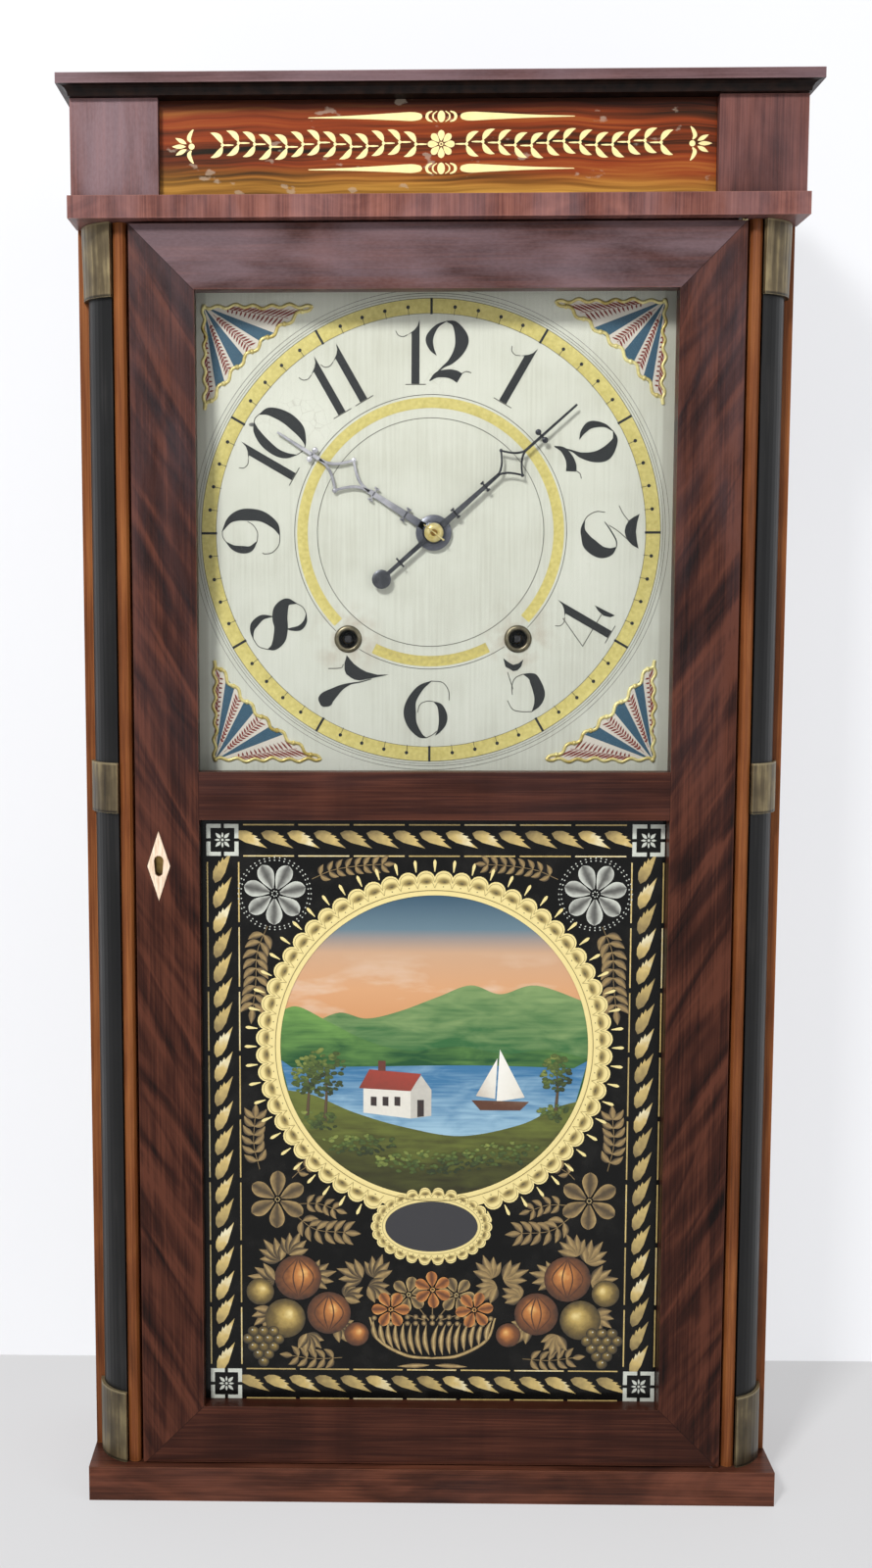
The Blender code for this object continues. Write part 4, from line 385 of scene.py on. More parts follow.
class Coat:
    """One coat of flat shapes painted on an upright panel, in millimetres (x, z), with a tone at each point.
    Each shape lies a hair above the one before, as paint does."""

    def __init__(self):
        self.points, self.tones, self.levels, self.faces = [], [], [], []
        self.count = 0

    def add(self, points, tones, faces):
        """Keeps a shape's points and its faces, whose numbers count from this shape's first point."""
        self.points.append(points)
        self.tones.append(tones)
        self.levels.append(np.full(len(points), len(self.levels)))
        self.faces += faces
        self.count += len(points)

    def patch(self, grid, tones=1.0):
        """A grid of points (rows, columns, 2), with a face in each of its cells."""
        rows, columns = grid.shape[:2]
        number = self.count + np.arange(rows * columns).reshape(rows, columns)
        cells = np.stack([number[:-1, :-1], number[:-1, 1:], number[1:, 1:], number[1:, :-1]], axis=2)
        spread_tones = np.broadcast_to(tones, (rows, columns)).ravel()
        self.add(grid.reshape(-1, 2), spread_tones, cells.reshape(-1, 4).tolist())

    def shape(self, outline, tones=1.0):
        """The area inside an outline."""
        outline = np.asarray(outline, float)
        face = list(range(self.count, self.count + len(outline)))
        self.add(outline, np.broadcast_to(tones, len(outline)), [face])

    def stroke(self, path, tones=(1.0, 1.0, 1.0), steps=8):
        """A brush stroke: half its width to each side of a smooth curve through rows of (x, z, width)."""
        rows = eased(path, steps)
        line, half = rows[:, :2], np.maximum(rows[:, 2:3], 0.001) / 2
        way = np.gradient(line, axis=0)
        way /= np.maximum(np.linalg.norm(way, axis=1, keepdims=True), 1e-9)
        left = way[:, ::-1] * (-1, 1) * half
        self.patch(np.stack([line + left, line, line - left], axis=1), tones)

    def disc(self, centre, radius, tone=1.0, rim=None, count=20, flat=1.0, turn=0.0, lift=(0.0, 0.0)):
        """An oval: shares of its radius by angles. Its middle is moved by lift, and its tone fades to the
        rim's."""
        share = np.array([0.0, 0.5, 1.0])[:, None]
        angle = np.linspace(0.0, 2 * np.pi, count + 1)[None]
        u = share * radius * np.cos(angle) + lift[0] * (1 - share)
        v = share * radius * flat * np.sin(angle) + lift[1] * (1 - share)
        x, z = turned(u, v, turn)
        rim = tone if rim is None else rim
        self.patch(np.stack([centre[0] + x, centre[1] + z], axis=2), tone + (rim - tone) * share)

    def ring(self, centre, inner, outer, tones=(1.0, 1.0), start=0.0, end=360.0, count=96):
        """A flat band between two radii, from one angle to another."""
        angles = np.linspace(start, end, count + 1)
        rows = [round_point(centre, (radius, radius), angles) for radius in (inner, outer)]
        self.patch(np.stack(rows), np.array(tones)[:, None])

    def leaf(self, base, tip, width, tones=(0.4, 1.0, 0.7), bend=0.0, steps=3):
        """A pointed leaf from base to tip, whose middle line bends to one side as half a wave."""
        share = np.array([0.0, 0.22, 0.48, 0.76, 1.0])
        thick = np.array([0.05, 0.75, 1.0, 0.62, 0.03]) * width
        base, length = np.asarray(base, float), np.subtract(tip, base)
        side = bend * np.sin(np.pi * share)[:, None] * length[::-1] * (-1, 1)
        self.stroke(np.column_stack([base + share[:, None] * length + side, thick]), tones, steps)

    def lay(self, name, y, material, body, rise=0.0004):
        """Lays the coat at y, on its panel, as one mesh that faces the front and rides on a body."""
        flat = np.concatenate(self.points) * MM
        depth = y - np.concatenate(self.levels) * rise * MM
        mesh = bpy.data.meshes.new(name)
        mesh.from_pydata(np.column_stack([flat[:, 0], depth, flat[:, 1]]), [], self.faces)
        tone = mesh.attributes.new("tone", "FLOAT", "POINT")
        tone.data.foreach_set("value", np.concatenate(self.tones).astype(np.float32))
        mesh.materials.append(material)
        bm = bmesh.new()
        bm.from_mesh(mesh)
        bmesh.ops.remove_doubles(bm, verts=bm.verts, dist=1e-7)
        bmesh.ops.reverse_faces(bm, faces=[face for face in bm.faces if face.normal.y > 0])
        bm.to_mesh(mesh)
        bm.free()
        mounted(name, mesh, body)


def painted_tone():
    """The tone laid on each point, broken up by specks: tone + mottle x (noise - 0.5)."""
    inputs = {"Place": "Vector", "Scale": "Float", "Mottle": "Float"}
    group, given, result = shared_effect("painted tone", inputs, {"Tone": "Float"})
    tone = put(group, "Attribute", attribute_name="tone").outputs["Fac"]
    speck = noise(group, given["Place"], given["Scale"], 4.0)
    uneven = calc(group, "MULTIPLY", calc(group, "SUBTRACT", speck, 0.5), given["Mottle"])
    feed(group, result, {"Tone": calc(group, "ADD", tone, uneven)})
    return group


PAINTED_TONE = painted_tone()


def paint(name, *stops, roughness=0.4, metallic=0.0, coat=0.0, mottle=0.25, scale=350.0):
    """Paint or leaf: the colour between its stops at the coat's own tone, broken up by mottle."""
    material, tree, shader, place = finish_of(name, roughness, metallic, coat, 0.06)
    tone = use(tree, PAINTED_TONE, Place=place, Scale=scale, Mottle=mottle)["Tone"]
    feed(tree, shader, {"Base Color": ramp(tree, tone, *stops)})
    return material


def direction(angle):
    """One step out at an angle: (cos, sin)."""
    return np.array([math.cos(angle), math.sin(angle)])


def flower(coat, centre, petals, radius, width, turn=0.0, eye=3.0, tones=(0.9, 0.35, 0.8)):
    """A flower: petals that swell and close from its eye to its radius, and seven dots in the eye."""
    share = np.array([0.0, 0.3, 0.62, 0.88, 1.0])
    thick = np.array([0.15, 0.7, 1.0, 0.72, 0.1]) * width
    for angle in turn + 2 * np.pi * np.arange(petals) / petals:
        line = np.asarray(centre) + direction(angle) * (eye + (radius - eye) * share[:, None])
        coat.stroke(np.column_stack([line, thick]), tones, steps=4)
    for angle in 2 * np.pi * np.arange(7) / 7:
        coat.disc(np.asarray(centre) + eye * 0.5 * direction(angle), 0.45, 0.9, count=8)


def set_out(rows, centre, side, up=1):
    """Rows of (out, height, width) set from a centre, out to one side and up or down."""
    return [(centre[0] + side * out, centre[1] + up * height, width) for out, height, width in rows]


FRIEZE = (2.5, 899.6)
GILT_TONES = (0.9, 1.0, 0.9)
BAR = ((84, -0.4, 0.5), (56, -0.2, 2.0), (30, 0.0, 4.4), (19, 0.0, 5.4), (13.5, 0.0, 3.8), (12.0, 0.0, 1.0))
OUTER_HOOK = ((5.6, 3.2, 0.6), (8.2, 2.0, 1.5), (9.1, 0.0, 1.9), (8.2, -2.0, 1.5), (5.6, -3.2, 0.6))
INNER_HOOK = ((2.6, 3.2, 0.5), (4.8, 1.6, 0.9), (5.3, 0.0, 1.1), (4.8, -1.6, 0.9), (2.6, -3.2, 0.5))
SCROLL = ((0.2, 2.4, 0.8), (1.6, 5.0, 2.6), (0.4, 8.2, 2.0), (-1.2, 10.4, 0.5))
gilding = Coat()
for level in (916.5, 884.7):
    for side in (-1, 1):
        gilding.stroke(set_out(BAR, (FRIEZE[0], level), side), GILT_TONES)
        gilding.stroke(set_out(OUTER_HOOK, (FRIEZE[0], level), side))
        gilding.stroke(set_out(INNER_HOOK, (FRIEZE[0], level), side))
    gilding.disc((FRIEZE[0], level), 2.4, 1.0, count=20, flat=1.5)
for side in (-1, 1):
    heart = (FRIEZE[0] + side * 158.0, 899.0)
    gilding.disc(heart, 1.9, 1.0, count=14)
    for turn, reach in ((0.0, 12.5), (0.48, 11.5), (-0.48, 11.5)):
        way = np.array([side * math.cos(turn), math.sin(turn)])
        gilding.leaf(heart + way * 3.6, heart + way * reach, 2.7, GILT_TONES)
    for up in (-1, 1):
        gilding.stroke(set_out(SCROLL, heart, side, up), GILT_TONES)
    for k in range(13):
        x = FRIEZE[0] + side * (16 + 10.2 * k)
        z = FRIEZE[1] + 1.4 * math.sin(k * 1.3)
        gilding.disc((x, z), 1.1, 1.0, count=10)
        gilding.stroke([(x - side * 7.0, z, 0.5), (x - side * 3.5, z, 1.1), (x, z, 0.6)], steps=3)
        for up in (-1, 1):
            tip = (x + side * 7.6, z + 7.6 * up)
            gilding.leaf((x, z + 0.6 * up), tip, 3.6, (0.9, 1.0, 0.85), 0.16 * up * side)
flower(gilding, FRIEZE, 8, 8.6, 4.2, 0.0, 2.0, (1.0, 0.85, 1.0))
frieze_gilt = paint(
    "frieze_gilt", (0.0, (150, 112, 60)), (0.5, (226, 196, 118)), (1.0, (246, 226, 160)),
    roughness=0.4, metallic=0.1, coat=0.5, mottle=0.5, scale=220.0,
)
gilding.lay("frieze_gilding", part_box("frieze_tablet")[0][1] - 0.1 * MM, frieze_gilt, "case")


# The columns are quarter rounds of rolled sheet iron, japanned black, now satin and scuffed upright.
# Each stands on the base board, under the waist moulding and before its post.
def japanned_iron():
    """Upright scuffs, noise of (fast x, fast y, slow z), over slow clouds in the lacquer."""
    material, tree, shader, place = finish_of("japanned_iron", 0.36, 0.0, 0.05, 0.3, 0.22)
    scuff = noise(tree, stretched(tree, place, 420.0, 420.0, 9.0), 1.0, 4.0)
    cloud = noise(tree, place, 14.0, 3.0)
    value = blend(tree, scuff, 0.5, cloud)
    colour = ramp(tree, value, (0.3, (9, 9, 10)), (0.55, (20, 20, 20)), (0.72, (46, 44, 43)))
    gloss = calc(tree, "MULTIPLY_ADD", cloud, 0.3, 0.26)
    feed(tree, shader, {"Base Color": colour, "Roughness": gloss})
    raised(tree, shader, cloud, 0.0006, 0.3)
    return material


dress(japanned_iron(), "stovepipe_column_left", "stovepipe_column_right")


# Bands of thin sheet brass wrap each column at its head, middle and foot. They are dull and streaked upright
# by old cleaning. Painted shade darkens each band's lower edge and a painted highlight its top edge.
def sheet_brass(name, foot, top, bright):
    """0.55 x upright streaks + 0.45 x clouds, painted shade at the foot, painted light at the top. bright
    scales it all.
    """
    material, tree, shader, place = finish_of(name, 0.42, 0.45, 0.0, specular=0.4)
    height = apart(tree, place)[2]
    streak = noise(tree, stretched(tree, place, 260.0, 260.0, 18.0), 1.0, 5.0)
    cloud = noise(tree, place, 48.0, 4.0)
    value = blend(tree, streak, 0.55, cloud)
    shades = ((0.34, (66, 56, 40)), (0.5, (112, 98, 72)), (0.66, (172, 154, 112)))
    colour = ramp(tree, value, *[(at, [channel * bright for channel in shade]) for at, shade in shades])
    # Painted shade along the band's lower edge and a painted highlight along its top edge.
    low = spread(tree, height, foot + 0.0022, foot + 0.0012)
    rim = spread(tree, height, top - 0.0016, top - 0.0008)
    colour = laid_over(tree, colour, (30, 25, 19), low, 0.8)
    colour = laid_over(tree, colour, (150, 136, 104), rim, 0.6)
    colour = laid_over(tree, colour, (178, 162, 122), use(tree, WEAR, Width=0.0008)["Wear"], 0.6)
    gloss = calc(tree, "MULTIPLY_ADD", cloud, 0.35, 0.25)
    feed(tree, shader, {"Base Color": colour, "Roughness": gloss})
    raised(tree, shader, value, 0.0003, 0.5)
    return material


# Each band's brass is scaled by painted light: the bands lower on the column are darker.
for band, bright in (("capital", 0.93), ("middle", 0.9), ("base", 0.78)):
    low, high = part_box(band + "_band_left")
    band_brass = sheet_brass(band + "_band_brass", low[2], high[2], bright)
    dress(band_brass, band + "_band_left", band + "_band_right")


# The movement is cast and stamped brass with steel arbors, hung behind the dial.
# The weights and the hammer's head are rough cast iron.
def tarnish():
    """Tone = 0.4 x fine wear + 0.6 x slow clouds, at a given fineness."""
    inputs = {"Place": "Vector", "Fineness": "Float"}
    outputs = {"Tone": "Float", "Cloud": "Float", "Scratch": "Float"}
    group, given, result = shared_effect("tarnish", inputs, outputs)
    fine = noise(group, given["Place"], given["Fineness"], 4.0)
    slow = noise(group, given["Place"], 40.0, 3.0)
    feed(group, result, {"Tone": blend(group, fine, 0.4, slow), "Cloud": slow, "Scratch": fine})
    return group


TARNISH = tarnish()


def metal(name, dark, light, roughness, metallic=1.0, fineness=300.0):
    """Metal from dark to light by the tarnish's tone, and rougher by 0.3 x its clouds."""
    material, tree, shader, place = finish_of(name, roughness, metallic)
    worn = use(tree, TARNISH, Place=place, Fineness=fineness)
    colour = ramp(tree, worn["Tone"], (0.35, dark), (0.65, light))
    gloss = calc(tree, "MULTIPLY_ADD", worn["Cloud"], 0.3, roughness - 0.12)
    feed(tree, shader, {"Base Color": colour, "Roughness": gloss})
    raised(tree, shader, worn["Scratch"], 0.00012, 0.3)
    return material


bright_brass = metal("bright_brass", (206, 186, 110), (252, 244, 196), 0.3, 0.35)
steel = metal("bright_steel", (118, 120, 124), (204, 204, 206), 0.3)
dress(
    metal("movement_brass", (150, 112, 52), (214, 178, 104), 0.32),
    "movement_front_frame", "movement_back_frame", "centre_wheel", "minute_wheel", "hour_wheel",
    "time_great_wheel", "time_second_wheel", "time_third_wheel", "time_fourth_wheel", "escape_wheel",
    "strike_great_wheel", "strike_pin_wheel", "strike_third_wheel", "strike_fly", "strike_bell",
)
dress(bright_brass, "pendulum_bob")
dress(steel, "verge", "pendulum_rod")
cast_iron = metal("cast_iron", (38, 36, 34), (84, 80, 76), 0.62, 0.5, 180.0)
dress(cast_iron, "time_weight", "strike_weight", "strike_hammer")

# Each drum is brass on a steel arbor. The arbor's front end is squared for the winding key, and its steel
# is darkened as painted shade, deep in the winding hole. The axes stand so many millimetres to each side
# and above the foot.
WINDING_SIDE = 56.5
WINDING_HEIGHT = 587.4


def from_winding_axis(tree, place):
    """How far a point stands from the nearer drum's axis: the length of (|x| - side, z - height)."""
    x, _, z = apart(tree, place)
    out = calc(tree, "SUBTRACT", calc(tree, "ABSOLUTE", x), WINDING_SIDE * MM)
    up = calc(tree, "SUBTRACT", z, WINDING_HEIGHT * MM)
    return put(tree, "VectorMath", {0: together(tree, out, up)}, operation="LENGTH").outputs["Value"]


drum_metal = metal("drum_brass", (150, 112, 52), (214, 178, 104), 0.32)
tree, shader, drum_brass, place = reopened(drum_metal)
# The arbor's steel is darkened as painted shade, for the inside of the winding hole.
shaded_arbor_steel = mixed(tree, noise(tree, place, 500.0, 3.0), linear(30, 28, 26), linear(96, 96, 98))
on_arbor = spread(tree, from_winding_axis(tree, place), 0.0034, 0.0033)
feed(tree, shader, {"Base Color": mixed(tree, on_arbor, drum_brass, shaded_arbor_steel)})
dress(drum_metal, "time_drum", "strike_drum")


# The weights hang on gut cords over turned wooden pulleys. Each cord is two strands laid together.
def twisted_gut():
    """Slanting bands along the cord: the sine of height and of the angle about it, plus fuzz."""
    material, tree, shader, place = finish_of("twisted_gut", 0.6)
    x, y, z = apart(tree, place)
    turn = calc(tree, "MULTIPLY", calc(tree, "ARCTAN2", x, y), 40.0)
    wound = calc(tree, "SINE", calc(tree, "MULTIPLY_ADD", z, 2400.0, turn))
    shade = calc(tree, "MULTIPLY_ADD", wound, 0.25, noise(tree, place, 900.0, 2.0))
    feed(tree, shader, {"Base Color": ramp(tree, shade, (0.2, (122, 92, 56)), (0.8, (196, 166, 120)))})
    raised(tree, shader, shade, 0.0004, 0.6)
    return material


PULLEY_TONES = ((72, 32, 16), (138, 70, 38), (176, 100, 56), (190, 124, 78))
dress(board("turned_wood", "X", PULLEY_TONES, 0.4, coat=0.1), "time_pulley", "strike_pulley")
dress(twisted_gut(), "time_drum_cord", "strike_drum_cord", "time_weight_cord", "strike_weight_cord")

# The dial is a wooden board painted cream. It has faint upright grain, hair cracks, stains round the
# winding holes and greyer margins where the door's frame keeps the light off. The arbor of the hands
# comes through it at this height, in millimetres.
ARBOR_HEIGHT = 657.4
dial_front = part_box("dial")[0][1]


def dial_ground():
    """0.35 x grain + 0.65 x clouds, cracks along cell edges, stains by distance from a winding hole."""
    material, tree, shader, place = finish_of("dial_ground", 0.45, coat=0.1, coat_roughness=0.3, specular=0.4)
    x, _, z = apart(tree, place)
    grain = noise(tree, stretched(tree, place, 620.0, 0.0, 16.0), 1.0, 4.0)
    cloud = noise(tree, place, 16.0, 5.0)
    value = blend(tree, grain, 0.35, cloud)
    upper = ramp(tree, value, (0.3, (206, 207, 187)), (0.5, (225, 227, 210)), (0.7, (234, 236, 220)))
    lower = ramp(tree, value, (0.3, (198, 199, 183)), (0.5, (216, 219, 204)), (0.7, (227, 229, 216)))
    colour = mixed(tree, spread(tree, z, 0.56, 0.74), lower, upper)
    cells = put(tree, "TexVoronoi", {"Vector": place, "Scale": 130.0}, feature="DISTANCE_TO_EDGE")
    crack = spread(tree, cells.outputs["Distance"], 0.022, 0.0)
    crack = calc(tree, "MULTIPLY", crack, spread(tree, cloud, 0.58, 0.7))
    colour = laid_over(tree, colour, (150, 142, 120), crack, 0.35)
    reach = from_winding_axis(tree, place)
    blots = spread(tree, noise(tree, place, 90.0, 4.0), 0.4, 0.62)
    stain = calc(tree, "MULTIPLY", spread(tree, reach, 0.028, 0.008), blots)
    colour = laid_over(tree, colour, (178, 158, 134), stain, 0.6)
    # Painted shade: the wall of each winding hole is near black.
    colour = laid_over(tree, colour, (20, 17, 13), spread(tree, reach, 0.0063, 0.0061))
    margin = spread(tree, calc(tree, "ABSOLUTE", x), 0.1492, 0.1508)
    colour = laid_over(tree, colour, (176, 174, 158), margin, 0.55)
    feed(tree, shader, {"Base Color": colour})
    raised(tree, shader, grain, 0.00015, 0.4)
    return material


dress(dial_ground(), "dial")

# The chapter ring and the inner ring are brushed in gold size and leaf, ruled with thin grey lines,
# and worn through in places. Dots mark the minutes and bars the hours.
DIAL = (-2.0, ARBOR_HEIGHT)
RING_OUTER = 151.8
RING_INNER = 142.1
RULED_CIRCLES = (
    (RING_OUTER, 0.35), (RING_INNER, 0.3), (153.4, 0.25), (155.0, 0.3), (157.6, 0.25), (74.9, 0.4),
)
gold_rings = Coat()
gold_rings.ring(DIAL, RING_INNER, RING_OUTER, (0.55, 0.72), count=180)
for start, end, tone in ((-134.0, 132.0, 0.55), (153.0, 206.0, 0.4)):
    gold_rings.ring(DIAL, 81.3, 88.3, (tone, tone + 0.1), start, end, int(end - start) // 2)
ring_gold = paint(
    "ring_gold", (0.0, (166, 150, 96)), (0.5, (214, 200, 116)), (1.0, (244, 232, 150)),
    roughness=0.4, metallic=0.08, mottle=0.8, scale=420.0,
)
gold_rings.lay("dial_gold_rings", dial_front - 0.08 * MM, ring_gold, "case")

rulings = Coat()
for radius, width in RULED_CIRCLES:
    rulings.ring(DIAL, radius - width / 2, radius + width / 2, (0.8, 0.8), count=180)
for start, end in ((-136.0, 134.0), (146.5, 211.5)):
    rulings.ring(DIAL, 89.8, 90.2, (0.8, 0.8), start, end, 90)
marks = Coat()
for minute in range(60):
    foot = round_point(DIAL, (RING_INNER - 0.6,) * 2, 6 * minute)
    if minute % 5:
        head = round_point(DIAL, (RING_INNER + 6.0,) * 2, 6 * minute)
        rulings.stroke([(*foot, 0.4), (*head, 0.3)], steps=1)
        marks.disc(round_point(DIAL, (146.8,) * 2, 6 * minute), 1.2, count=12)
    else:
        head = round_point(DIAL, (RING_OUTER + 0.2,) * 2, 6 * minute)
        marks.stroke([(*foot, 1.6), (*head, 1.6)], steps=1)
marks.disc(round_point(DIAL, (137.6,) * 2, 301.0), 2.1, 0.25, 0.05, 14, 0.6)

# The twelve numerals are painted freehand in charcoal. Flags are filled outlines of (across, up) points,
# strokes swell by rows of (across, up, width), and curls are thin lines; all count in heights of a figure.
NUMERAL_RADIUS = 116.9
NUMERAL_HEIGHT = 40.7
CURL_WIDTH = 0.013
FLAGS = {
    "1": [
        [
            (-0.065, -0.49), (-0.065, 0.31), (-0.125, 0.285), (-0.02, 0.36), (0.03, 0.42), (0.065, 0.52),
            (0.065, -0.49),
        ],
    ],
    "3": [
        [
            (-0.297, 0.514), (-0.15, 0.475), (-0.02, 0.46), (0.12, 0.475), (0.263, 0.508), (0.2, 0.4),
            (0.136, 0.338), (0.06, 0.295), (-0.02, 0.276), (-0.11, 0.295), (-0.19, 0.338), (-0.25, 0.42),
        ],
    ],
    "4": [
        [(0.325, -0.039), (0.275, -0.13), (0.25, -0.25), (0.285, -0.36), (0.347, -0.409), (0.335, -0.22)],
    ],
    "5": [
        [
            (0.024, 0.51), (0.07, 0.4), (0.112, 0.333), (0.2, 0.31), (0.3, 0.327), (0.21, 0.243),
            (0.13, 0.22), (0.06, 0.243), (-0.014, 0.372),
        ],
    ],
    "7": [
        [
            (-0.19, 0.475), (-0.116, 0.445), (-0.01, 0.408), (0.11, 0.395), (0.23, 0.398), (0.41, 0.448),
            (0.57, 0.544), (0.43, 0.416), (0.32, 0.32), (0.205, 0.221), (0.12, 0.19), (0.05, 0.188),
            (-0.04, 0.2), (-0.1, 0.249), (-0.156, 0.344), (-0.17, 0.41),
        ],
    ],
}
STROKES = {
    "0": [
        [
            (0.26, 0.49, 0.01), (0.385, 0.36, 0.13), (0.43, 0.09, 0.19), (0.38, -0.17, 0.18),
            (0.28, -0.33, 0.08), (0.2, -0.41, 0.01),
        ],
        [
            (0.11, 0.5, 0.01), (0.0, 0.385, 0.1), (-0.09, 0.18, 0.145), (-0.125, -0.05, 0.125),
            (-0.09, -0.22, 0.09), (0.0, -0.36, 0.01),
        ],
    ],
    "2": [
        [
            (-0.01, 0.485, 0.01), (-0.17, 0.4, 0.06), (-0.283, 0.22, 0.12), (-0.25, 0.06, 0.08),
            (-0.17, -0.055, 0.005),
        ],
        [
            (-0.01, 0.485, 0.015), (0.13, 0.43, 0.1), (0.235, 0.21, 0.215), (0.19, 0.02, 0.17),
            (0.06, -0.15, 0.09), (-0.08, -0.25, 0.03), (-0.28, -0.45, 0.012),
        ],
        [
            (-0.28, -0.455, 0.015), (-0.16, -0.36, 0.09), (0.0, -0.34, 0.13), (0.12, -0.365, 0.16),
            (0.205, -0.415, 0.17),
        ],
    ],
    "3": [
        [
            (0.235, 0.148, 0.01), (0.31, 0.04, 0.13), (0.31, -0.115, 0.2), (0.19, -0.285, 0.215),
            (0.05, -0.367, 0.125), (-0.06, -0.4, 0.07), (-0.204, -0.37, 0.01),
        ],
        [(-0.175, -0.05, 0.012), (-0.05, 0.04, 0.02), (0.12, 0.14, 0.02), (0.235, 0.148, 0.012)],
    ],
    "5": [
        [
            (0.18, 0.119, 0.01), (0.27, 0.02, 0.12), (0.29, -0.06, 0.165), (0.253, -0.284, 0.185),
            (0.15, -0.415, 0.12), (0.0, -0.489, 0.01),
        ],
    ],
    "6": [
        [
            (0.03, 0.465, 0.01), (-0.15, 0.35, 0.1), (-0.29, 0.15, 0.15), (-0.325, -0.05, 0.205),
            (-0.285, -0.25, 0.16), (-0.16, -0.42, 0.09), (-0.054, -0.472, 0.01),
        ],
        [
            (0.07, 0.125, 0.01), (0.17, 0.05, 0.09), (0.22, -0.1, 0.14), (0.213, -0.23, 0.125),
            (0.16, -0.35, 0.06), (0.1, -0.43, 0.01),
        ],
    ],
    "7": [
        [
            (0.36, 0.34, 0.012), (0.22, 0.2, 0.02), (0.1, 0.1, 0.03), (0.0, -0.03, 0.09),
            (-0.06, -0.16, 0.16), (-0.11, -0.28, 0.23), (-0.12, -0.34, 0.25), (-0.12, -0.4, 0.2),
            (-0.12, -0.455, 0.05),
        ],
    ],
    "8": [
        [
            (-0.103, 0.414, 0.01), (-0.2, 0.29, 0.13), (-0.15, 0.145, 0.235), (-0.033, 0.054, 0.246),
            (0.104, -0.003, 0.224), (0.25, -0.12, 0.207), (0.32, -0.26, 0.12), (0.3065, -0.376, 0.01),
        ],
        [
            (0.119, 0.465, 0.01), (0.22, 0.385, 0.06), (0.265, 0.26, 0.085), (0.215, 0.13, 0.05),
            (0.17, 0.063, 0.01),
        ],
        [
            (-0.114, -0.027, 0.01), (-0.19, -0.19, 0.085), (-0.16, -0.35, 0.115), (-0.09, -0.44, 0.07),
            (0.033, -0.495, 0.01),
        ],
    ],
    "9": [
        [
            (0.03, 0.52, 0.01), (0.2, 0.41, 0.09), (0.28, 0.27, 0.16), (0.3, 0.105, 0.195),
            (0.27, -0.13, 0.17), (0.13, -0.336, 0.12), (-0.036, -0.421, 0.01),
        ],
        [
            (-0.138, 0.462, 0.01), (-0.23, 0.34, 0.08), (-0.265, 0.2, 0.12), (-0.25, 0.06, 0.09),
            (-0.131, -0.0475, 0.01),
        ],
    ],
}
CURLS = {
    "0": [
        [(0.11, 0.5), (0.18, 0.515), (0.26, 0.49)],
        [(0.0, -0.36), (0.1, -0.41), (0.2, -0.41)],
    ],
    "1": [
        [(-0.125, 0.285), (-0.2, 0.255), (-0.28, 0.28), (-0.32, 0.35)],
        [(-0.16, -0.5), (0.17, -0.5)],
    ],
    "2": [
        [(0.24, -0.34), (0.31, -0.31), (0.39, -0.33)],
    ],
    "3": [
        [(0.2, 0.42), (0.0, 0.2), (-0.12, 0.02)],
        [(-0.19, 0.338), (-0.3, 0.25), (-0.43, 0.18)],
        [(-0.204, -0.37), (-0.275, -0.313), (-0.337, -0.186), (-0.326, -0.044)],
    ],
    "4": [
        [(-0.35, -0.21), (0.25, -0.21)],
        [(-0.115, 0.303), (-0.349, -0.215)],
    ],
    "5": [
        [(0.18, 0.119), (0.037, 0.129), (-0.076, 0.045), (-0.142, -0.087)],
        [(-0.028, 0.273), (-0.087, -0.012)],
        [(0.0, -0.489), (-0.144, -0.406), (-0.253, -0.3), (-0.259, -0.127)],
    ],
    "6": [
        [(0.03, 0.464), (0.21, 0.44), (0.31, 0.306), (0.32, 0.147)],
        [(-0.054, -0.472), (0.05, -0.42), (0.12, -0.36)],
        [(-0.2, -0.056), (-0.154, 0.08), (-0.04, 0.134), (0.072, 0.125)],
    ],
    "7": [
        [(-0.16, 0.32), (-0.17, 0.243), (-0.34, 0.132)],
    ],
    "8": [
        [(-0.103, 0.414), (0.0, 0.47), (0.119, 0.465)],
        [(0.033, -0.495), (0.19, -0.48), (0.3065, -0.376)],
    ],
    "9": [
        [(0.03, 0.52), (-0.06, 0.51), (-0.138, 0.462)],
        [(-0.131, -0.0475), (0.015, -0.054), (0.134, 0.02), (0.185, 0.105)],
        [(-0.036, -0.421), (-0.189, -0.404), (-0.308, -0.302), (-0.335, -0.183), (-0.318, -0.132)],
    ],
}
# Each hour's figures, with how far across and up each is set.
HOURS = {
    12: (("1", -0.255, 0.0), ("2", 0.253, 0.01)),
    1: (("1", -0.045, 0.0),),
    2: (("2", 0.08, 0.0),),
    3: (("3", 0.0, 0.0),),
    4: (("1", 0.037, 0.0), ("4", 0.0, 0.0)),
    5: (("5", 0.0, 0.0),),
    6: (("6", 0.0, 0.0),),
    7: (("7", 0.0, 0.0),),
    8: (("8", 0.0, 0.0),),
    9: (("9", 0.0, 0.0),),
    10: (("1", -0.325, 0.0), ("0", 0.0, 0.0)),
    11: (("1", -0.287, 0.0), ("1", 0.12, 0.0)),
}


def set_figure(rows, hour, across, up):
    """Rows of a figure moved, turned with the hour and brought to size. Hours 4 to 8 stand tops inwards."""
    turn = -math.radians(30 * hour + (180 if 4 <= hour <= 8 else 0))
    rows = np.asarray(rows, float)
    u, v = (rows[:, :2] + (across, up)).T
    place = np.column_stack(turned(u, v, turn))
    centre = round_point(DIAL, (NUMERAL_RADIUS,) * 2, 30 * hour)
    return np.column_stack([centre + place * NUMERAL_HEIGHT, rows[:, 2:] * NUMERAL_HEIGHT])


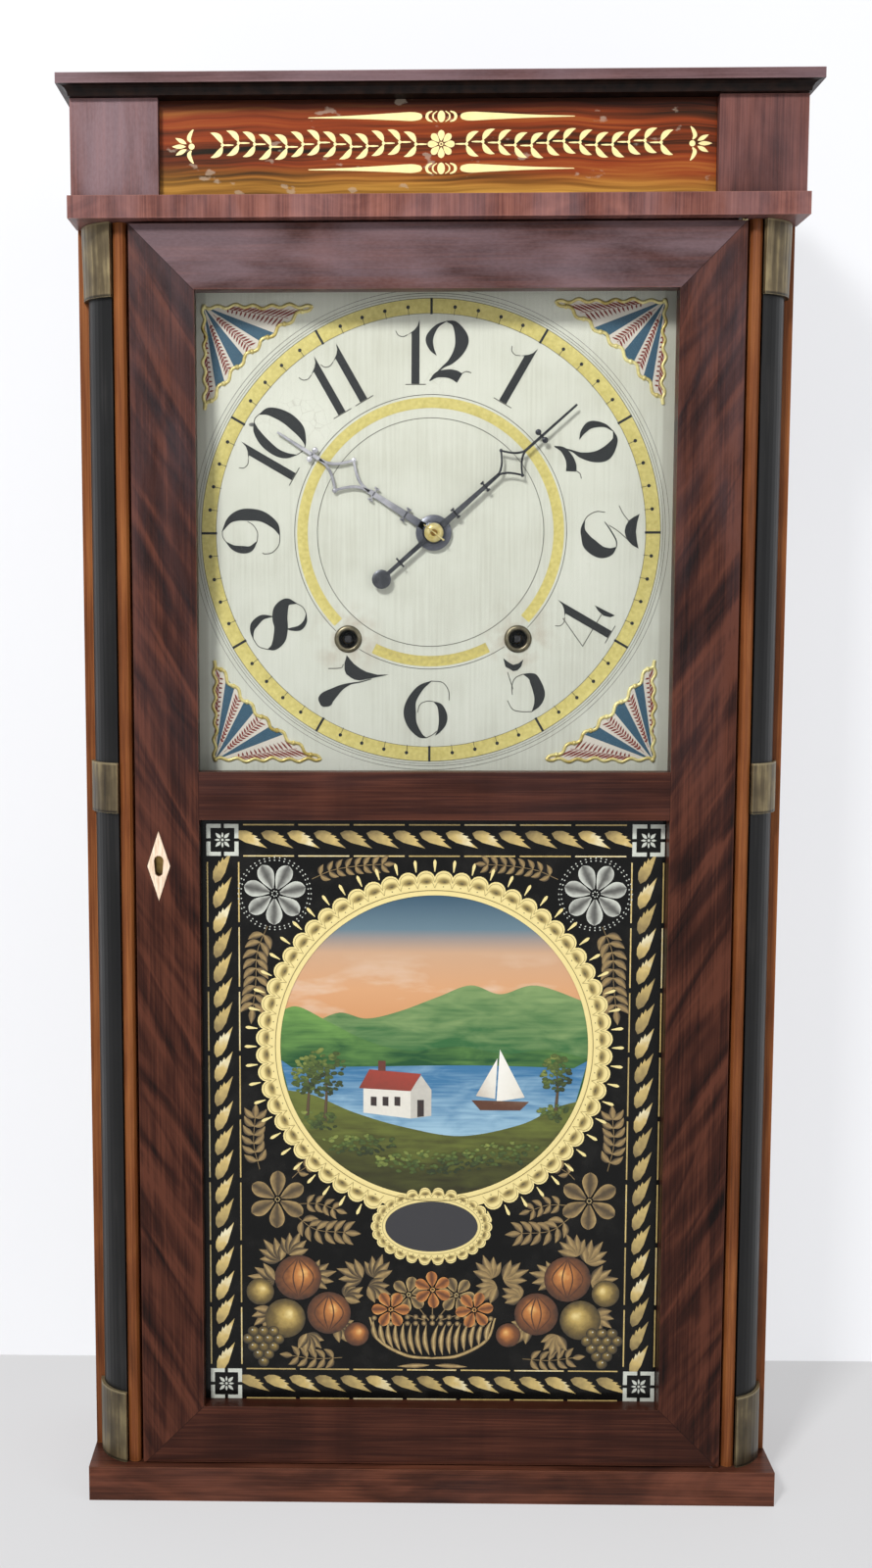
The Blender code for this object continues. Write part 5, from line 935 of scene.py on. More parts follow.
for hour, figures in HOURS.items():
    for figure, across, up in figures:
        for outline in FLAGS.get(figure, []):
            marks.shape(set_figure(outline, hour, across, up))
        for path in STROKES.get(figure, []):
            marks.stroke(set_figure(path, hour, across, up))
        for path in CURLS[figure]:
            rows = [(*point, CURL_WIDTH) for point in path]
            rulings.stroke(set_figure(rows, hour, across, up), (0.9, 0.9, 0.9))
charcoal = paint(
    "charcoal_paint", (0.0, (150, 150, 142)), (0.3, (74, 78, 78)), (0.8, (30, 34, 35)),
    roughness=0.45, mottle=0.3, scale=160.0,
)
ruling_grey = paint("ruling_grey", (0.0, (150, 148, 132)), (1.0, (66, 66, 60)), roughness=0.5)
rulings.lay("dial_rulings", dial_front - 0.14 * MM, ruling_grey, "case")
marks.lay("dial_numerals", dial_front - 0.20 * MM, charcoal, "case")

# Each corner of the dial has a painted fan: blue rays between pale ones, and a red-brown feather
# down the middle of every pale ray.
FAN_ACROSS = 71.6
FAN_UP = 67.0
FAN_BOW = 4.0
CORNERS = ((-1, -1), (1, -1), (-1, 1), (1, 1))
FAN_HEARTS = {
    (-1, -1): (-146.5, 506.0), (1, -1): (148.0, 506.0), (-1, 1): (-151.6, 805.0), (1, 1): (150.5, 807.5),
}


def fan_point(share, reach=1.0):
    """A point of the fan, from its corner: share 0 to 1 runs from its level leg to its upright one, along a
    side that bows in by a half wave; reach 0 to 1 runs out along the ray."""
    bow = FAN_BOW * np.sin(np.pi * share)
    side = np.stack([FAN_ACROSS * (1 - share) - bow, FAN_UP * share - bow], axis=-1)
    return side * np.asarray(reach)[..., None]


def in_corner(corner, points):
    """Distances from a corner of the dial, towards its middle, as places on the panel."""
    return np.array(FAN_HEARTS[corner]) - np.asarray(points) * corner


pale_rays, blue_rays, feathers = Coat(), Coat(), Coat()
PALE_RAYS = ((0.0, 0.31), (0.41, 0.56), (0.66, 0.77), (0.86, 1.0))
BLUE_RAYS = ((0.31, 0.41), (0.56, 0.66), (0.77, 0.86))
BARBS = np.linspace(0.28, 0.90, 13)
for corner in CORNERS:
    for coat, rays in ((pale_rays, PALE_RAYS), (blue_rays, BLUE_RAYS)):
        for start, end in rays:
            shares, reaches = np.meshgrid(np.linspace(start, end, 7), (0.06, 0.5, 1.0))
            coat.patch(in_corner(corner, fan_point(shares, reaches)), 0.7)
    for start, end in PALE_RAYS:
        middle, half = (start + end) / 2, (end - start) * 0.34
        quill = fan_point(np.full(5, middle), np.linspace(0.2, 0.95, 5))
        quill = np.column_stack([in_corner(corner, quill), np.full(5, 0.35)])
        feathers.stroke(quill, (0.6, 0.6, 0.6), steps=2)
        for reach in BARBS:
            for side in (-1, 1):
                ends = fan_point(np.array([middle, middle + side * half]), np.array([reach, reach + 0.045]))
                base, tip = in_corner(corner, ends)
                feathers.leaf(base, tip, 1.25, (0.9, 1.0, 0.9), steps=2)
pale_paint = paint("ray_cream", (0.0, (206, 198, 182)), (1.0, (232, 226, 212)), roughness=0.5, mottle=0.4)
blue_paint = paint("ray_blue", (0.0, (36, 72, 92)), (1.0, (58, 98, 120)), roughness=0.5, mottle=0.5)
red_paint = paint("feather_red", (0.0, (168, 96, 74)), (1.0, (126, 38, 26)), roughness=0.5, mottle=0.3)
pale_rays.lay("fan_pale_rays", dial_front - 0.08 * MM, pale_paint, "case")
blue_rays.lay("fan_blue_rays", dial_front - 0.10 * MM, blue_paint, "case")
feathers.lay("fan_feathers", dial_front - 0.14 * MM, red_paint, "case", 0.0002)


# A raised gilt cord frames each fan. It is gesso trailed on in a wavy line, with a bead at each bend,
# then gilded; its sides have stayed brown, though this cord is gilt all over.
class Solid:
    """Modelled work as grids of points in metres, each a ring of points by its place along the piece."""

    def __init__(self):
        self.points, self.faces, self.count = [], [], 0

    def skin(self, grid, ends=True):
        """Joins each ring of the grid (rings, points, 3) to the next all round, and closes its ends."""
        rings, around = grid.shape[:2]
        number = self.count + np.arange(rings * around).reshape(rings, around)
        after = np.roll(number, -1, axis=1)
        cells = np.stack([number[:-1], after[:-1], after[1:], number[1:]], axis=2)
        self.faces += cells.reshape(-1, 4).tolist()
        if ends:
            self.faces += [number[0].tolist(), number[-1, ::-1].tolist()]
        self.points.append(grid.reshape(-1, 3))
        self.count += rings * around

    def carry(self, path, section, front=(0.0, -1.0, 0.0)):
        """A section of (side, front) points carried along a path: place + side x across + front x front,
        where across is the path's direction crossed with the front."""
        path = np.asarray(path, float)
        way = np.gradient(path, axis=0)
        across = np.cross(way, front)
        across /= np.linalg.norm(across, axis=1, keepdims=True)
        section = np.broadcast_to(section, (len(path), *np.shape(section)[-2:]))
        self.skin(path[:, None] + across[:, None] * section[..., :1] + np.array(front) * section[..., 1:])

    def turn(self, centre, profile, count=32, ends=False):
        """A profile of (radius, y) points turned about the front-to-back line through centre (x, z)."""
        radius, depth = np.asarray(profile, float).T[..., None]
        angle = np.linspace(0.0, 2 * np.pi, count, endpoint=False)[None]
        x = centre[0] + radius * np.cos(angle)
        z = centre[1] + radius * np.sin(angle)
        self.skin(np.stack([x, np.broadcast_to(depth, x.shape), z], axis=2), ends)

    def make(self, name, material, body, crease=40.0):
        """The finished piece: doubles merged, faces turned outwards, and edges past the crease kept sharp."""
        mesh = bpy.data.meshes.new(name)
        mesh.from_pydata(np.concatenate(self.points), [], self.faces)
        bm = bmesh.new()
        bm.from_mesh(mesh)
        bmesh.ops.remove_doubles(bm, verts=bm.verts, dist=1e-7)
        bmesh.ops.recalc_face_normals(bm, faces=bm.faces)
        bm.to_mesh(mesh)
        bm.free()
        mesh.materials.append(material)
        mesh.shade_smooth()
        mesh.set_sharp_from_angle(angle=math.radians(crease))
        return mounted(name, mesh, body)


def round_section(radius, lift=0.0, count=8):
    """A circle of (side, front) points."""
    angle = np.linspace(0.0, 2 * np.pi, count, endpoint=False)
    return np.column_stack([radius * np.cos(angle), lift + radius * np.sin(angle)])


def on_dial_front(places):
    """Panel places in millimetres as points in metres on the dial's front."""
    return np.column_stack([places[:, 0] * MM, np.full(len(places), dial_front), places[:, 1] * MM])


def wavy(start, end, waves, sway):
    """A line from start to end that swings to both sides as the sum of two sines."""
    share = np.linspace(0.0, 1.0, waves * 8 + 1)[:, None]
    way = np.subtract(end, start)
    side = way[::-1] * (-1, 1) / np.linalg.norm(way)
    swing = np.sin(2 * np.pi * waves * share) + 0.5 * np.sin(2 * np.pi * 0.38 * waves * share)
    return np.asarray(start) + way * share + side * sway * swing


ROPE_SECTION = round_section(1.15 * MM, 0.1 * MM) * (1.0, 0.8)
# Rows of a bead are (radius, height) in millimetres.
BEAD = ((1.7, 0.0), (1.5, 0.9), (0.6, 1.4), (0.0, 1.5))
rope = Solid()
for corner in CORNERS:
    for end in ((FAN_ACROSS, 0.6), (0.6, FAN_UP)):
        rope.carry(on_dial_front(in_corner(corner, wavy((0.6, 0.6), end, 6, 1.0))), ROPE_SECTION)
    share = np.linspace(0.03, 0.97, 61)
    swing = 1.1 * np.sin(share * 2 * np.pi * 7)[:, None]
    edge = np.vstack([(FAN_ACROSS, 0.6), fan_point(share) + swing, (0.6, FAN_UP)])
    rope.carry(on_dial_front(in_corner(corner, edge)), ROPE_SECTION)
    for x, z in in_corner(corner, np.vstack([(0.6, 0.6), edge[4:-3:9]])) * MM:
        rope.turn((x, z), [(radius * MM, dial_front - height * MM) for radius, height in BEAD], 10)
raised_gilt = metal("raised_gilt", (188, 164, 80), (254, 244, 172), 0.34, 0.3, 420.0)
rope.make("fan_gilt_rope", raised_gilt, "case", 60.0)

# The two winding holes have pressed brass collars, dull grey-brown now. Round each winding arbor a black
# disc behind the dial is painted shade that darkens the hole. Rows are (radius, depth) in millimetres.
COLLAR = (
    (9.1, 0.2), (9.1, -0.6), (8.5, -1.3), (7.6, -1.7), (6.7, -1.6), (6.0, -1.0), (5.7, -0.2), (5.7, 0.1),
    (5.9, 0.2),
)
SHADE_DISC = ((8.0, 0.6), (8.0, 0.1), (3.4, 0.1), (3.4, 0.6), (8.0, 0.6))
dial_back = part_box("dial")[1][1]
collars, shade_discs = Solid(), Solid()
for side in (-1, 1):
    centre = (side * WINDING_SIDE * MM, WINDING_HEIGHT * MM)
    profile = [(radius * MM, dial_front + depth * MM) for radius, depth in COLLAR]
    collars.turn(centre, profile + profile[:1], 40)
    shade_discs.turn(centre, [(radius * MM, dial_back + depth * MM) for radius, depth in SHADE_DISC], 24)
collars.make("winding_hole_collars", metal("collar_brass", (58, 54, 44), (140, 132, 108), 0.3), "case")
# The disc's near-black is painted shade for the dark inside of the winding hole.
shade_disc_black, tree, shader, place = finish_of("shade_disc_black", 0.7, specular=0.2)
pits = noise(tree, place, 900.0, 3.0)
feed(tree, shader, {"Base Color": mixed(tree, pits, linear(14, 12, 10), linear(40, 35, 30))})
raised(tree, shader, pits, 0.0002, 0.5)
shade_discs.make("winding_hole_shade_discs", shade_disc_black, "case")

# The hands are sawn from sheet steel, filed and fitted with small balls. The hour hand has been
# polished bright and the minute hand is still dark. A brass nut and a tapered pin hold them.
hand_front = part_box("door_frame")[0][1]
MINUTE_DEGREES = 48.4
HOUR_DEGREES = 302.5


def on_hand(points, degrees, y):
    """Points (side, out) in millimetres from the arbor, turned clockwise from the top, at a depth y."""
    turn = math.radians(degrees)
    u, v = np.asarray(points, float).T
    x = u * math.cos(turn) + v * math.sin(turn)
    z = v * math.cos(turn) - u * math.sin(turn) + ARBOR_HEIGHT
    return np.column_stack([x * MM, np.full(len(x), y), z * MM])


def bowed(start, end, inward, count=8):
    """Points from start to end, pulled towards the hand's middle line by a half wave."""
    share = np.linspace(0.0, 1.0, count + 1)[:, None]
    pull = np.sign(start[0] + end[0]) * inward * np.sin(np.pi * share)
    return np.asarray(start) * (1 - share) + np.asarray(end) * share - pull * (1, 0)


def hand(
    name, node, body, degrees, y, material, hub, shaft, bars, bar_reach, lozenge, cross, length, tail=None,
):
    """A hub ring, a shaft between two widths, bars across it with an upright at each end, an open lozenge
    (low end, high end, half width, bar width), a cross bar with a ball at each end, and the point. A tail is
    (length, radius of its disc). All count in millimetres out from the arbor."""
    work = Solid()
    thick = 0.9 * MM
    cross_half = 3.4

    def bar(points, widths):
        """A six-sided section with its front edges filed off, carried along points; its width runs evenly
        through widths."""
        share = np.linspace(0, 1, len(points))
        half = np.interp(share, np.linspace(0, 1, len(widths)), widths)[:, None] * MM / 2
        edge = np.minimum(half * 0.5, 0.3 * MM)
        across = np.hstack([-half, half, half, half - edge, edge - half, -half])
        back, face = 0 * half, thick + 0 * half
        forward = np.hstack([back, back, thick - edge, face, face, thick - edge])
        work.carry(on_hand(points, degrees, y), np.stack([across, forward], axis=2))

    def ball(point, radius):
        """A flattened ball: radius x cos out from the point, and a little over half the thickness x sin."""
        angle = np.linspace(-np.pi / 2, np.pi / 2, 9)
        depth = y - thick / 2 - np.sin(angle) * (thick / 2 + 0.2 * MM)
        x, _, z = on_hand([point], degrees, y)[0]
        work.turn((x, z), np.column_stack([radius * MM * np.cos(angle), depth]), 16)

    low, high, half, wide = lozenge
    bar([(0.0, hub * 0.6), (0.0, low + 0.6)], shaft)
    middle = (low + high) / 2
    for side in (-1, 1):
        bar(bowed((side * 0.01, low), (side * half, middle), 0.08 * (high - low)), (wide, wide * 0.8))
        bar(bowed((side * half, middle), (side * 0.01, high), 0.08 * (high - low)), (wide * 0.8, wide))
        ball((side * (half + 0.2), middle), 0.75 * wide)
        ball((side * cross_half, cross), 2.0)
    bar([(0.0, high - 0.4), (0.0, cross), (0.0, length)], (wide * 1.3, wide * 1.2, 1.5))
    bar([(-cross_half, cross), (cross_half, cross)], (1.3, 1.3))
    for height in bars:
        bar([(-bar_reach - 0.4, height), (bar_reach + 0.4, height)], (1.3, 2.6, 1.3))
        rise = 0.42 * bar_reach
        for side in (-1, 1):
            bar([(side * bar_reach, height - rise), (side * bar_reach, height + rise)], (1.3, 1.3))
    if tail:
        end, disc = tail
        tail_cross = -29.5
        bar([(0.0, -hub * 0.6), (0.0, -end + disc * 0.6)], (3.4, 2.6))
        bar([(-3.8, tail_cross), (3.8, tail_cross)], (1.2, 1.2))
        ball((0.0, -end), disc)
    hole, rim = 2.6 * MM, hub * MM
    ring = [(hole, y), (rim, y), (rim, y - thick * 0.6), (rim - 0.5 * MM, y - thick)]
    ring += [(hole + 1.6 * MM, y - thick), (hole, y - thick * 0.8), (hole, y)]
    work.turn((0.0, ARBOR_HEIGHT * MM), ring)
    piece = work.make(name, material, body)
    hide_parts(node)


dark_steel = metal("dark_steel", (44, 46, 52), (98, 100, 104), 0.34, 0.7)
polished_steel = metal("polished_steel", (160, 160, 166), (228, 228, 232), 0.3, 0.5)
tree, shader, polish_colour, place = reopened(polished_steel)
arbor = put(tree, "VectorMath", {0: place, 1: (0.0, 0.0, ARBOR_HEIGHT * MM)}, operation="SUBTRACT").outputs[0]
level_way = stretched(tree, arbor, 1.0, 0.0, 1.0)
away = put(tree, "VectorMath", {0: level_way}, operation="LENGTH").outputs["Value"]
oiled = spread(tree, away, 0.046, 0.010)
feed(tree, shader, {"Base Color": laid_over(tree, polish_colour, (74, 78, 88), oiled, 0.9)})
minute_hand_y = hand_front + 0.0241
hour_hand_y = hand_front + 0.0267
hand(
    "filed_minute_hand", "minute_hand", "minute_arbor", MINUTE_DEGREES, minute_hand_y, dark_steel,
    hub=7.5, shaft=(4.6, 2.2), bars=(19.0, 45.0), bar_reach=3.1, lozenge=(56.5, 79.5, 10.6, 1.5),
    cross=94.0, length=124.5, tail=(46.0, 6.4),
)
hand(
    "filed_hour_hand", "hour_hand", "hour_pipe", HOUR_DEGREES, hour_hand_y, polished_steel,
    hub=11.8, shaft=(5.4, 3.4), bars=(22.0, 47.0), bar_reach=4.2, lozenge=(50.5, 89.5, 11.5, 2.2),
    cross=95.0, length=122.2,
)
NUT = ((2.3, 0.0), (6.2, 0.0), (6.3, 0.4), (5.6, 1.2), (4.2, 1.9), (3.2, 2.1), (2.3, 2.0), (2.3, 0.0))
nut = Solid()
nut_back = hand_front + 0.0229
nut.turn((0.0, ARBOR_HEIGHT * MM), [(radius * MM, nut_back - height * MM) for radius, height in NUT])
pin = on_hand([(-8.5, 0.0), (0.0, 0.0), (8.5, 0.0)], 38.0, nut_back - 2.3 * MM)
nut.carry(pin, round_section(1.0)[None] * np.array([0.35, 0.5, 0.65])[:, None, None] * MM)
nut.make("hand_nut_and_pin", bright_brass, "minute_arbor")


# The door is one frame of pine, veneered on its face: level grain on the top and bottom rails, mitred at
# the corners, and upright figured mahogany on the stiles, darker and finer than the cornice.
DOOR_TONES = ((16, 7, 5), (52, 25, 17), (86, 47, 33), (112, 70, 54))
SIGHT_HALF = 0.1547
SIGHT_TOP = 0.8098
SIGHT_BOTTOM = 0.0652
MIDDLE_RAIL = 0.4851
MIDDLE_RAIL_HALF = 0.0158


def door_veneer():
    """Level fibres between the stiles and past the mitres, where a point is farther over or under the sight
    than beside it, upright fibres elsewhere, and a dark line along each mitre and butt joint."""
    material, tree, shader, place = finish_of("door_veneer", coat=0.04, coat_roughness=0.18, specular=0.11)
    x, y, z = apart(tree, place)
    side = calc(tree, "ABSOLUTE", x)
    beyond = calc(tree, "MAXIMUM", calc(tree, "SUBTRACT", side, SIGHT_HALF), 0.0)
    above = calc(tree, "SUBTRACT", calc(tree, "SUBTRACT", z, SIGHT_TOP), beyond)
    below = calc(tree, "SUBTRACT", calc(tree, "SUBTRACT", SIGHT_BOTTOM, z), beyond)
    end_rail = calc(tree, "GREATER_THAN", calc(tree, "MAXIMUM", above, below), 0.0)
    rail = calc(tree, "MAXIMUM", end_rail, calc(tree, "LESS_THAN", side, SIGHT_HALF))
    stile = calc(tree, "SUBTRACT", 1.0, rail)
    along = calc(tree, "MULTIPLY_ADD", x, rail, calc(tree, "MULTIPLY", z, stile))
    over = calc(tree, "MULTIPLY_ADD", z, rail, calc(tree, "MULTIPLY", x, stile))
    fibres = together(tree, along, calc(tree, "ADD", over, y))
    lean = calc(tree, "MULTIPLY", calc(tree, "MULTIPLY_ADD", side, -1.9, z), stile)
    leant = calc(tree, "MULTIPLY", lean, 30.0)
    flames = together(tree, calc(tree, "MULTIPLY_ADD", along, 4.0, leant), x, rail)
    figure = calc(tree, "MULTIPLY_ADD", stile, 0.65, 0.25)
    # Painted sheen: a pale reflection laid into the colour, strongest on the top rail and growing upwards
    # over the door.
    at_top = calc(tree, "GREATER_THAN", above, 0.0)
    rising = calc(tree, "MULTIPLY", spread(tree, z, 0.40, 0.80), 0.14)
    painted_sheen_amount = calc(tree, "MULTIPLY_ADD", at_top, 0.30, rising)
    figure_place = stretched(tree, flames, 1.0, 16.0, 2.0)
    colour = wood_finish(tree, shader, fibres, figure_place, DOOR_TONES, figure, painted_sheen_amount)
    off_mitre = calc(tree, "MINIMUM", calc(tree, "ABSOLUTE", above), calc(tree, "ABSOLUTE", below))
    near = calc(tree, "LESS_THAN", off_mitre, 0.00028)
    mitre = calc(tree, "MULTIPLY", near, calc(tree, "GREATER_THAN", beyond, 0.0))
    off_butt = calc(tree, "ABSOLUTE", calc(tree, "SUBTRACT", side, SIGHT_HALF))
    off_middle = calc(tree, "ABSOLUTE", calc(tree, "SUBTRACT", z, MIDDLE_RAIL))
    at_middle = calc(tree, "LESS_THAN", off_middle, MIDDLE_RAIL_HALF)
    butt = calc(tree, "MULTIPLY", calc(tree, "LESS_THAN", off_butt, 0.0002), at_middle)
    seam = calc(tree, "MAXIMUM", mitre, butt)
    feed(tree, shader, {"Base Color": laid_over(tree, colour, (18, 9, 7), seam, 0.75)})
    return material


dress(door_veneer(), "door_frame")


# The dial's pane is thin old cylinder glass, held by putty in the door's rebate. It is nearly clear and
# wavers a little where it reflects.
def window_glass():
    """A dark sheet that hides 0.07 of what is behind it, and whose gloss waves with slow noise."""
    material, tree, shader, place = finish_of("window_glass", 0.03)
    shader.inputs["Base Color"].default_value = linear(40, 44, 42)
    shader.inputs["Alpha"].default_value = 0.07
    raised(tree, shader, noise(tree, place, 9.0, 2.0), 0.0015, 0.4)
    return material


dress(window_glass(), "dial_glass")


# The escutcheon is a pointed oval of polished bone let into the stile. The lock behind it is brass
# with a steel bolt, and steel pins hang the door.
def polished_bone():
    """Cream by upright streaks of noise, with 0.6 x edge wear of brown laid over it round the rim."""
    material, tree, shader, place = finish_of("polished_bone", 0.35, coat=0.3)
    streak = noise(tree, stretched(tree, place, 900.0, 0.0, 90.0), 1.0, 3.0)
    cream = ramp(tree, streak, (0.3, (206, 172, 138)), (0.55, (238, 214, 188)), (0.8, (246, 230, 208)))
    rim = use(tree, WEAR, Width=0.0008)["Wear"]
    feed(tree, shader, {"Base Color": laid_over(tree, cream, (150, 104, 70), rim, 0.6)})
    return material


dress(polished_bone(), "escutcheon")
dress(metal("lock_brass", (140, 108, 58), (200, 168, 104), 0.36), "door_lock")
dress(steel, "hinge_pin_upper", "hinge_pin_lower", "lock_bolt")

# A small wire eye stands in the gap over the door, beside the upper hinge pin. It is one length of brass
# wire, bent round and driven into the case by its two ends.
hinge = np.array([0.1920, hand_front + 0.0029, 0.8517])
bend = np.linspace(5.6, 0.6, 15)
loop = hinge + np.column_stack([2.2 * MM * np.cos(bend), 2.2 * MM * np.sin(bend), 0 * bend])
wire = np.vstack([hinge + (3.6 * MM, -5.0 * MM, 0.0), loop, hinge + (1.0 * MM, -5.9 * MM, 0.0)])
wire_eye = Solid()
wire_eye.carry(eased(wire, 3), round_section(0.42 * MM), (0.0, 0.0, 1.0))
wire_eye.make("hinge_wire_eye", bright_brass, "case")


# The lower pane is painted on its back: a black ground, a stencilled border of gilt leaves turned like
# a rope between thin broken lines, and a little cross flower in a square at each corner.
def tablet_ground():
    """Black seen through glass, greyer by faint scuffs where noise rises from 0.5 to 0.8."""
    material, tree, shader, place = finish_of(
        "tablet_ground", 0.25, coat=0.1, coat_roughness=0.05, specular=0.15,
    )
    scuff = noise(tree, place, 60.0, 5.0)
    feed(tree, shader, {"Base Color": ramp(tree, scuff, (0.5, (10, 10, 9)), (0.8, (28, 27, 25)))})
    return material


def bronze_powder(name, *colours):
    """Bronze powder rubbed on thinly: by tone, black where there is none, its colour, then its brightest."""
    stops = zip((0.0, 0.4, 0.75, 1.0), colours)
    return paint(name, *stops, roughness=0.36, metallic=0.15, coat=0.3, mottle=0.35, scale=280.0)


dress(tablet_ground(), "tablet_glass")
tablet_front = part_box("tablet_glass")[0][1]
TABLET = np.array([1.5, 265.0])
TABLET_HALF = np.array([152.5, 200.0])
BORDER = 21.5
SERRATED = np.array([
    (0.0, 0.0), (2.2, 3.0), (6.5, 5.0), (11.5, 5.2), (10.8, 3.9), (15.5, 4.6), (14.2, 3.0), (18.6, 3.2),
    (17.0, 1.7), (25.0, -0.6), (17.0, -2.0), (9.5, -3.2), (3.5, -2.6),
])
BRIGHTEST = 15.0
rng = np.random.default_rng(11)
border_leaves, border_lines, silver_work = Coat(), Coat(), Coat()


def border_leaf(place, degrees, tone):
    """A leaf with a toothed edge, turned about its place. Its tone falls with distance from its brightest
    part: tone x (1.1 - 0.62 x share of the way)."""
    turn = math.radians(degrees)
    u, v = ((SERRATED - (12.0, 0.0)) * (0.96, 0.92)).T
    away = np.abs(SERRATED[:, 0] - BRIGHTEST) / BRIGHTEST
    border_leaves.shape(place + np.column_stack(turned(u, v, turn)), tone * (1.1 - 0.62 * away))


inner = TABLET_HALF - BORDER
middle = TABLET_HALF - BORDER / 2
for side in (-1, 1):
    for x in np.linspace(8.0 - inner[0], inner[0] - 8.0, 15):
        border_leaf(TABLET + (x, side * middle[1]), -24.0, rng.uniform(0.6, 0.95))
    for z in np.linspace(8.0 - inner[1], inner[1] - 8.0, 21):
        border_leaf(TABLET + (side * middle[0], z), 64.0, rng.uniform(0.6, 1.0))


def broken_line(start, end, pieces, width=0.9):
    """A thin line left in short lengths, as a stencil's ties leave it."""
    start, way = np.asarray(start, float), np.subtract(end, start)
    for i in range(pieces):
        tone = rng.uniform(0.55, 0.9)
        ends = [start + way * (i + share) / pieces for share in (0.03, 0.95)]
        border_lines.stroke([(*end, width) for end in ends], (tone, tone, tone), steps=1)


for side in (-1, 1):
    for out in (inner[1], TABLET_HALF[1] - 0.5):
        broken_line(TABLET + (2 - inner[0], side * out), TABLET + (inner[0] - 2, side * out), 7)
    for out in (inner[0], TABLET_HALF[0] - 0.5):
        broken_line(TABLET + (side * out, 2 - inner[1]), TABLET + (side * out, inner[1] - 2), 8)
reach = BORDER / 2
inside = reach - 2.7
BRACKET = np.array([
    (1.1, reach), (reach, reach), (reach, 1.1), (inside, 1.1), (inside, inside), (1.1, inside),
])
for corner in CORNERS:
    centre = TABLET + np.array(corner) * middle
    for quarter in CORNERS:
        silver_work.shape(centre + BRACKET * quarter, 0.95)
    for petal in range(8):
        way = direction(math.pi / 4 * petal)
        wide, long = (2.2, 6.6) if petal % 2 else (1.4, 5.2)
        silver_work.leaf(centre + way * 1.6, centre + way * long, wide, (0.9, 0.95, 0.9))
    silver_work.disc(centre, 0.9, 0.95, count=10)
leaf_gilt = bronze_powder("border_gilt", (50, 44, 32), (140, 120, 74), (206, 180, 112), (232, 222, 184))
border_leaves.lay("tablet_border_leaves", tablet_front - 0.06 * MM, leaf_gilt, "door")
border_lines.lay("tablet_border_lines", tablet_front - 0.06 * MM, leaf_gilt, "door")

# A gilt lace ring frames the round picture, and a smaller one the clear oval that shows the bob.
# It is leaf with a scalloped edge, shaded by hand, and drops stand out between the scallops.
PICTURE = (1.5, 313.6)
PICTURE_RADIUS = 103.6
OVAL = (0.5, 188.7)
OVAL_RADII = (31.5, 17.6)
lace, lace_shades, lace_lines = Coat(), Coat(), Coat()


def grown(radii, growth):
    """Both radii of an oval, made larger by the same amount."""
    return (radii[0] + growth, radii[1] + growth)


def lace_ring(centre, radii, width, lobes, spikes):
    """A band of even width, a disc for each scallop on its outer edge, and inside each scallop a soft shade,
    a dot and two arcs, which rise as low + high x the root of 1 - share squared. Spikes stand between the
    scallops and leave the ring's foot clear."""
    band = grown(radii, width * 0.62)
    angles = np.linspace(0.0, 360.0, 145)
    lace.patch(np.stack([round_point(centre, band, angles), round_point(centre, radii, angles)]), 0.95)
    size = math.pi * (band[0] + band[1]) / lobes / 2 * 1.08
    across = np.linspace(-1.0, 1.0, 9)
    for i in range(lobes):
        degrees = 360.0 * (i + 0.5) / lobes
        if spikes and abs(degrees - 180.0) < 20.0:
            continue
        lace.disc(round_point(centre, band, degrees), size, 0.95, 1.0, count=18)
        turn = -math.radians(degrees)
        shade = round_point(centre, grown(band, -size * 0.05), degrees)
        lace_shades.disc(shade, size * 0.86, 1.0, 0.0, 14, 0.56, turn, (size * 0.1, -size * 0.12))
        lace_lines.disc(round_point(centre, grown(radii, width * 0.36), degrees), 0.4, 0.9, count=8)
        for low, high in ((0.30, 0.30), (0.52, 0.40)):
            lifts = width * (low + high * np.sqrt(1 - across**2))
            arc = round_point(centre, (radii[0] + lifts, radii[1] + lifts), degrees + 180.0 / lobes * across)
            lace_lines.stroke(np.column_stack([arc, np.full(9, 0.26)]), (0.6, 0.6, 0.6), steps=2)
        if spikes:
            root = round_point(centre, grown(band, size * 0.9), degrees + 180.0 / lobes)
            tip = round_point(centre, grown(band, size + 7.5), degrees + 180.0 / lobes)
            lace.stroke([(*root, 0.5), (*(root + (tip - root) * 0.75), 2.1), (*tip, 0.4)], steps=4)
    line = [round_point(centre, grown(radii, width * share), angles) for share in (0.215, 0.19)]
    lace_lines.patch(np.stack(line), 0.7)


lace_ring(OVAL, OVAL_RADII, 9.5, 26, False)
lace_ring(PICTURE, (PICTURE_RADIUS, PICTURE_RADIUS), 16.5, 60, True)
lace_gilt = paint(
    "lace_gilt", (0.0, (120, 98, 46)), (0.4, (196, 172, 98)), (0.8, (226, 206, 136)), (1.0, (234, 216, 148)),
    roughness=0.34, metallic=0.1, coat=0.3, mottle=0.12, scale=300.0,
)
lace_shading = paint(
    "lace_shading", (0.0, (231, 212, 142)), (0.45, (158, 138, 78)), (1.0, (58, 50, 24)),
    roughness=0.36, coat=0.3, mottle=0.12,
)
lace.lay("tablet_lace", tablet_front - 0.60 * MM, lace_gilt, "door")
lace_shades.lay("tablet_lace_shades", tablet_front - 0.72 * MM, lace_shading, "door")
lace_lines.lay("tablet_lace_lines", tablet_front - 0.80 * MM, lace_shading, "door")
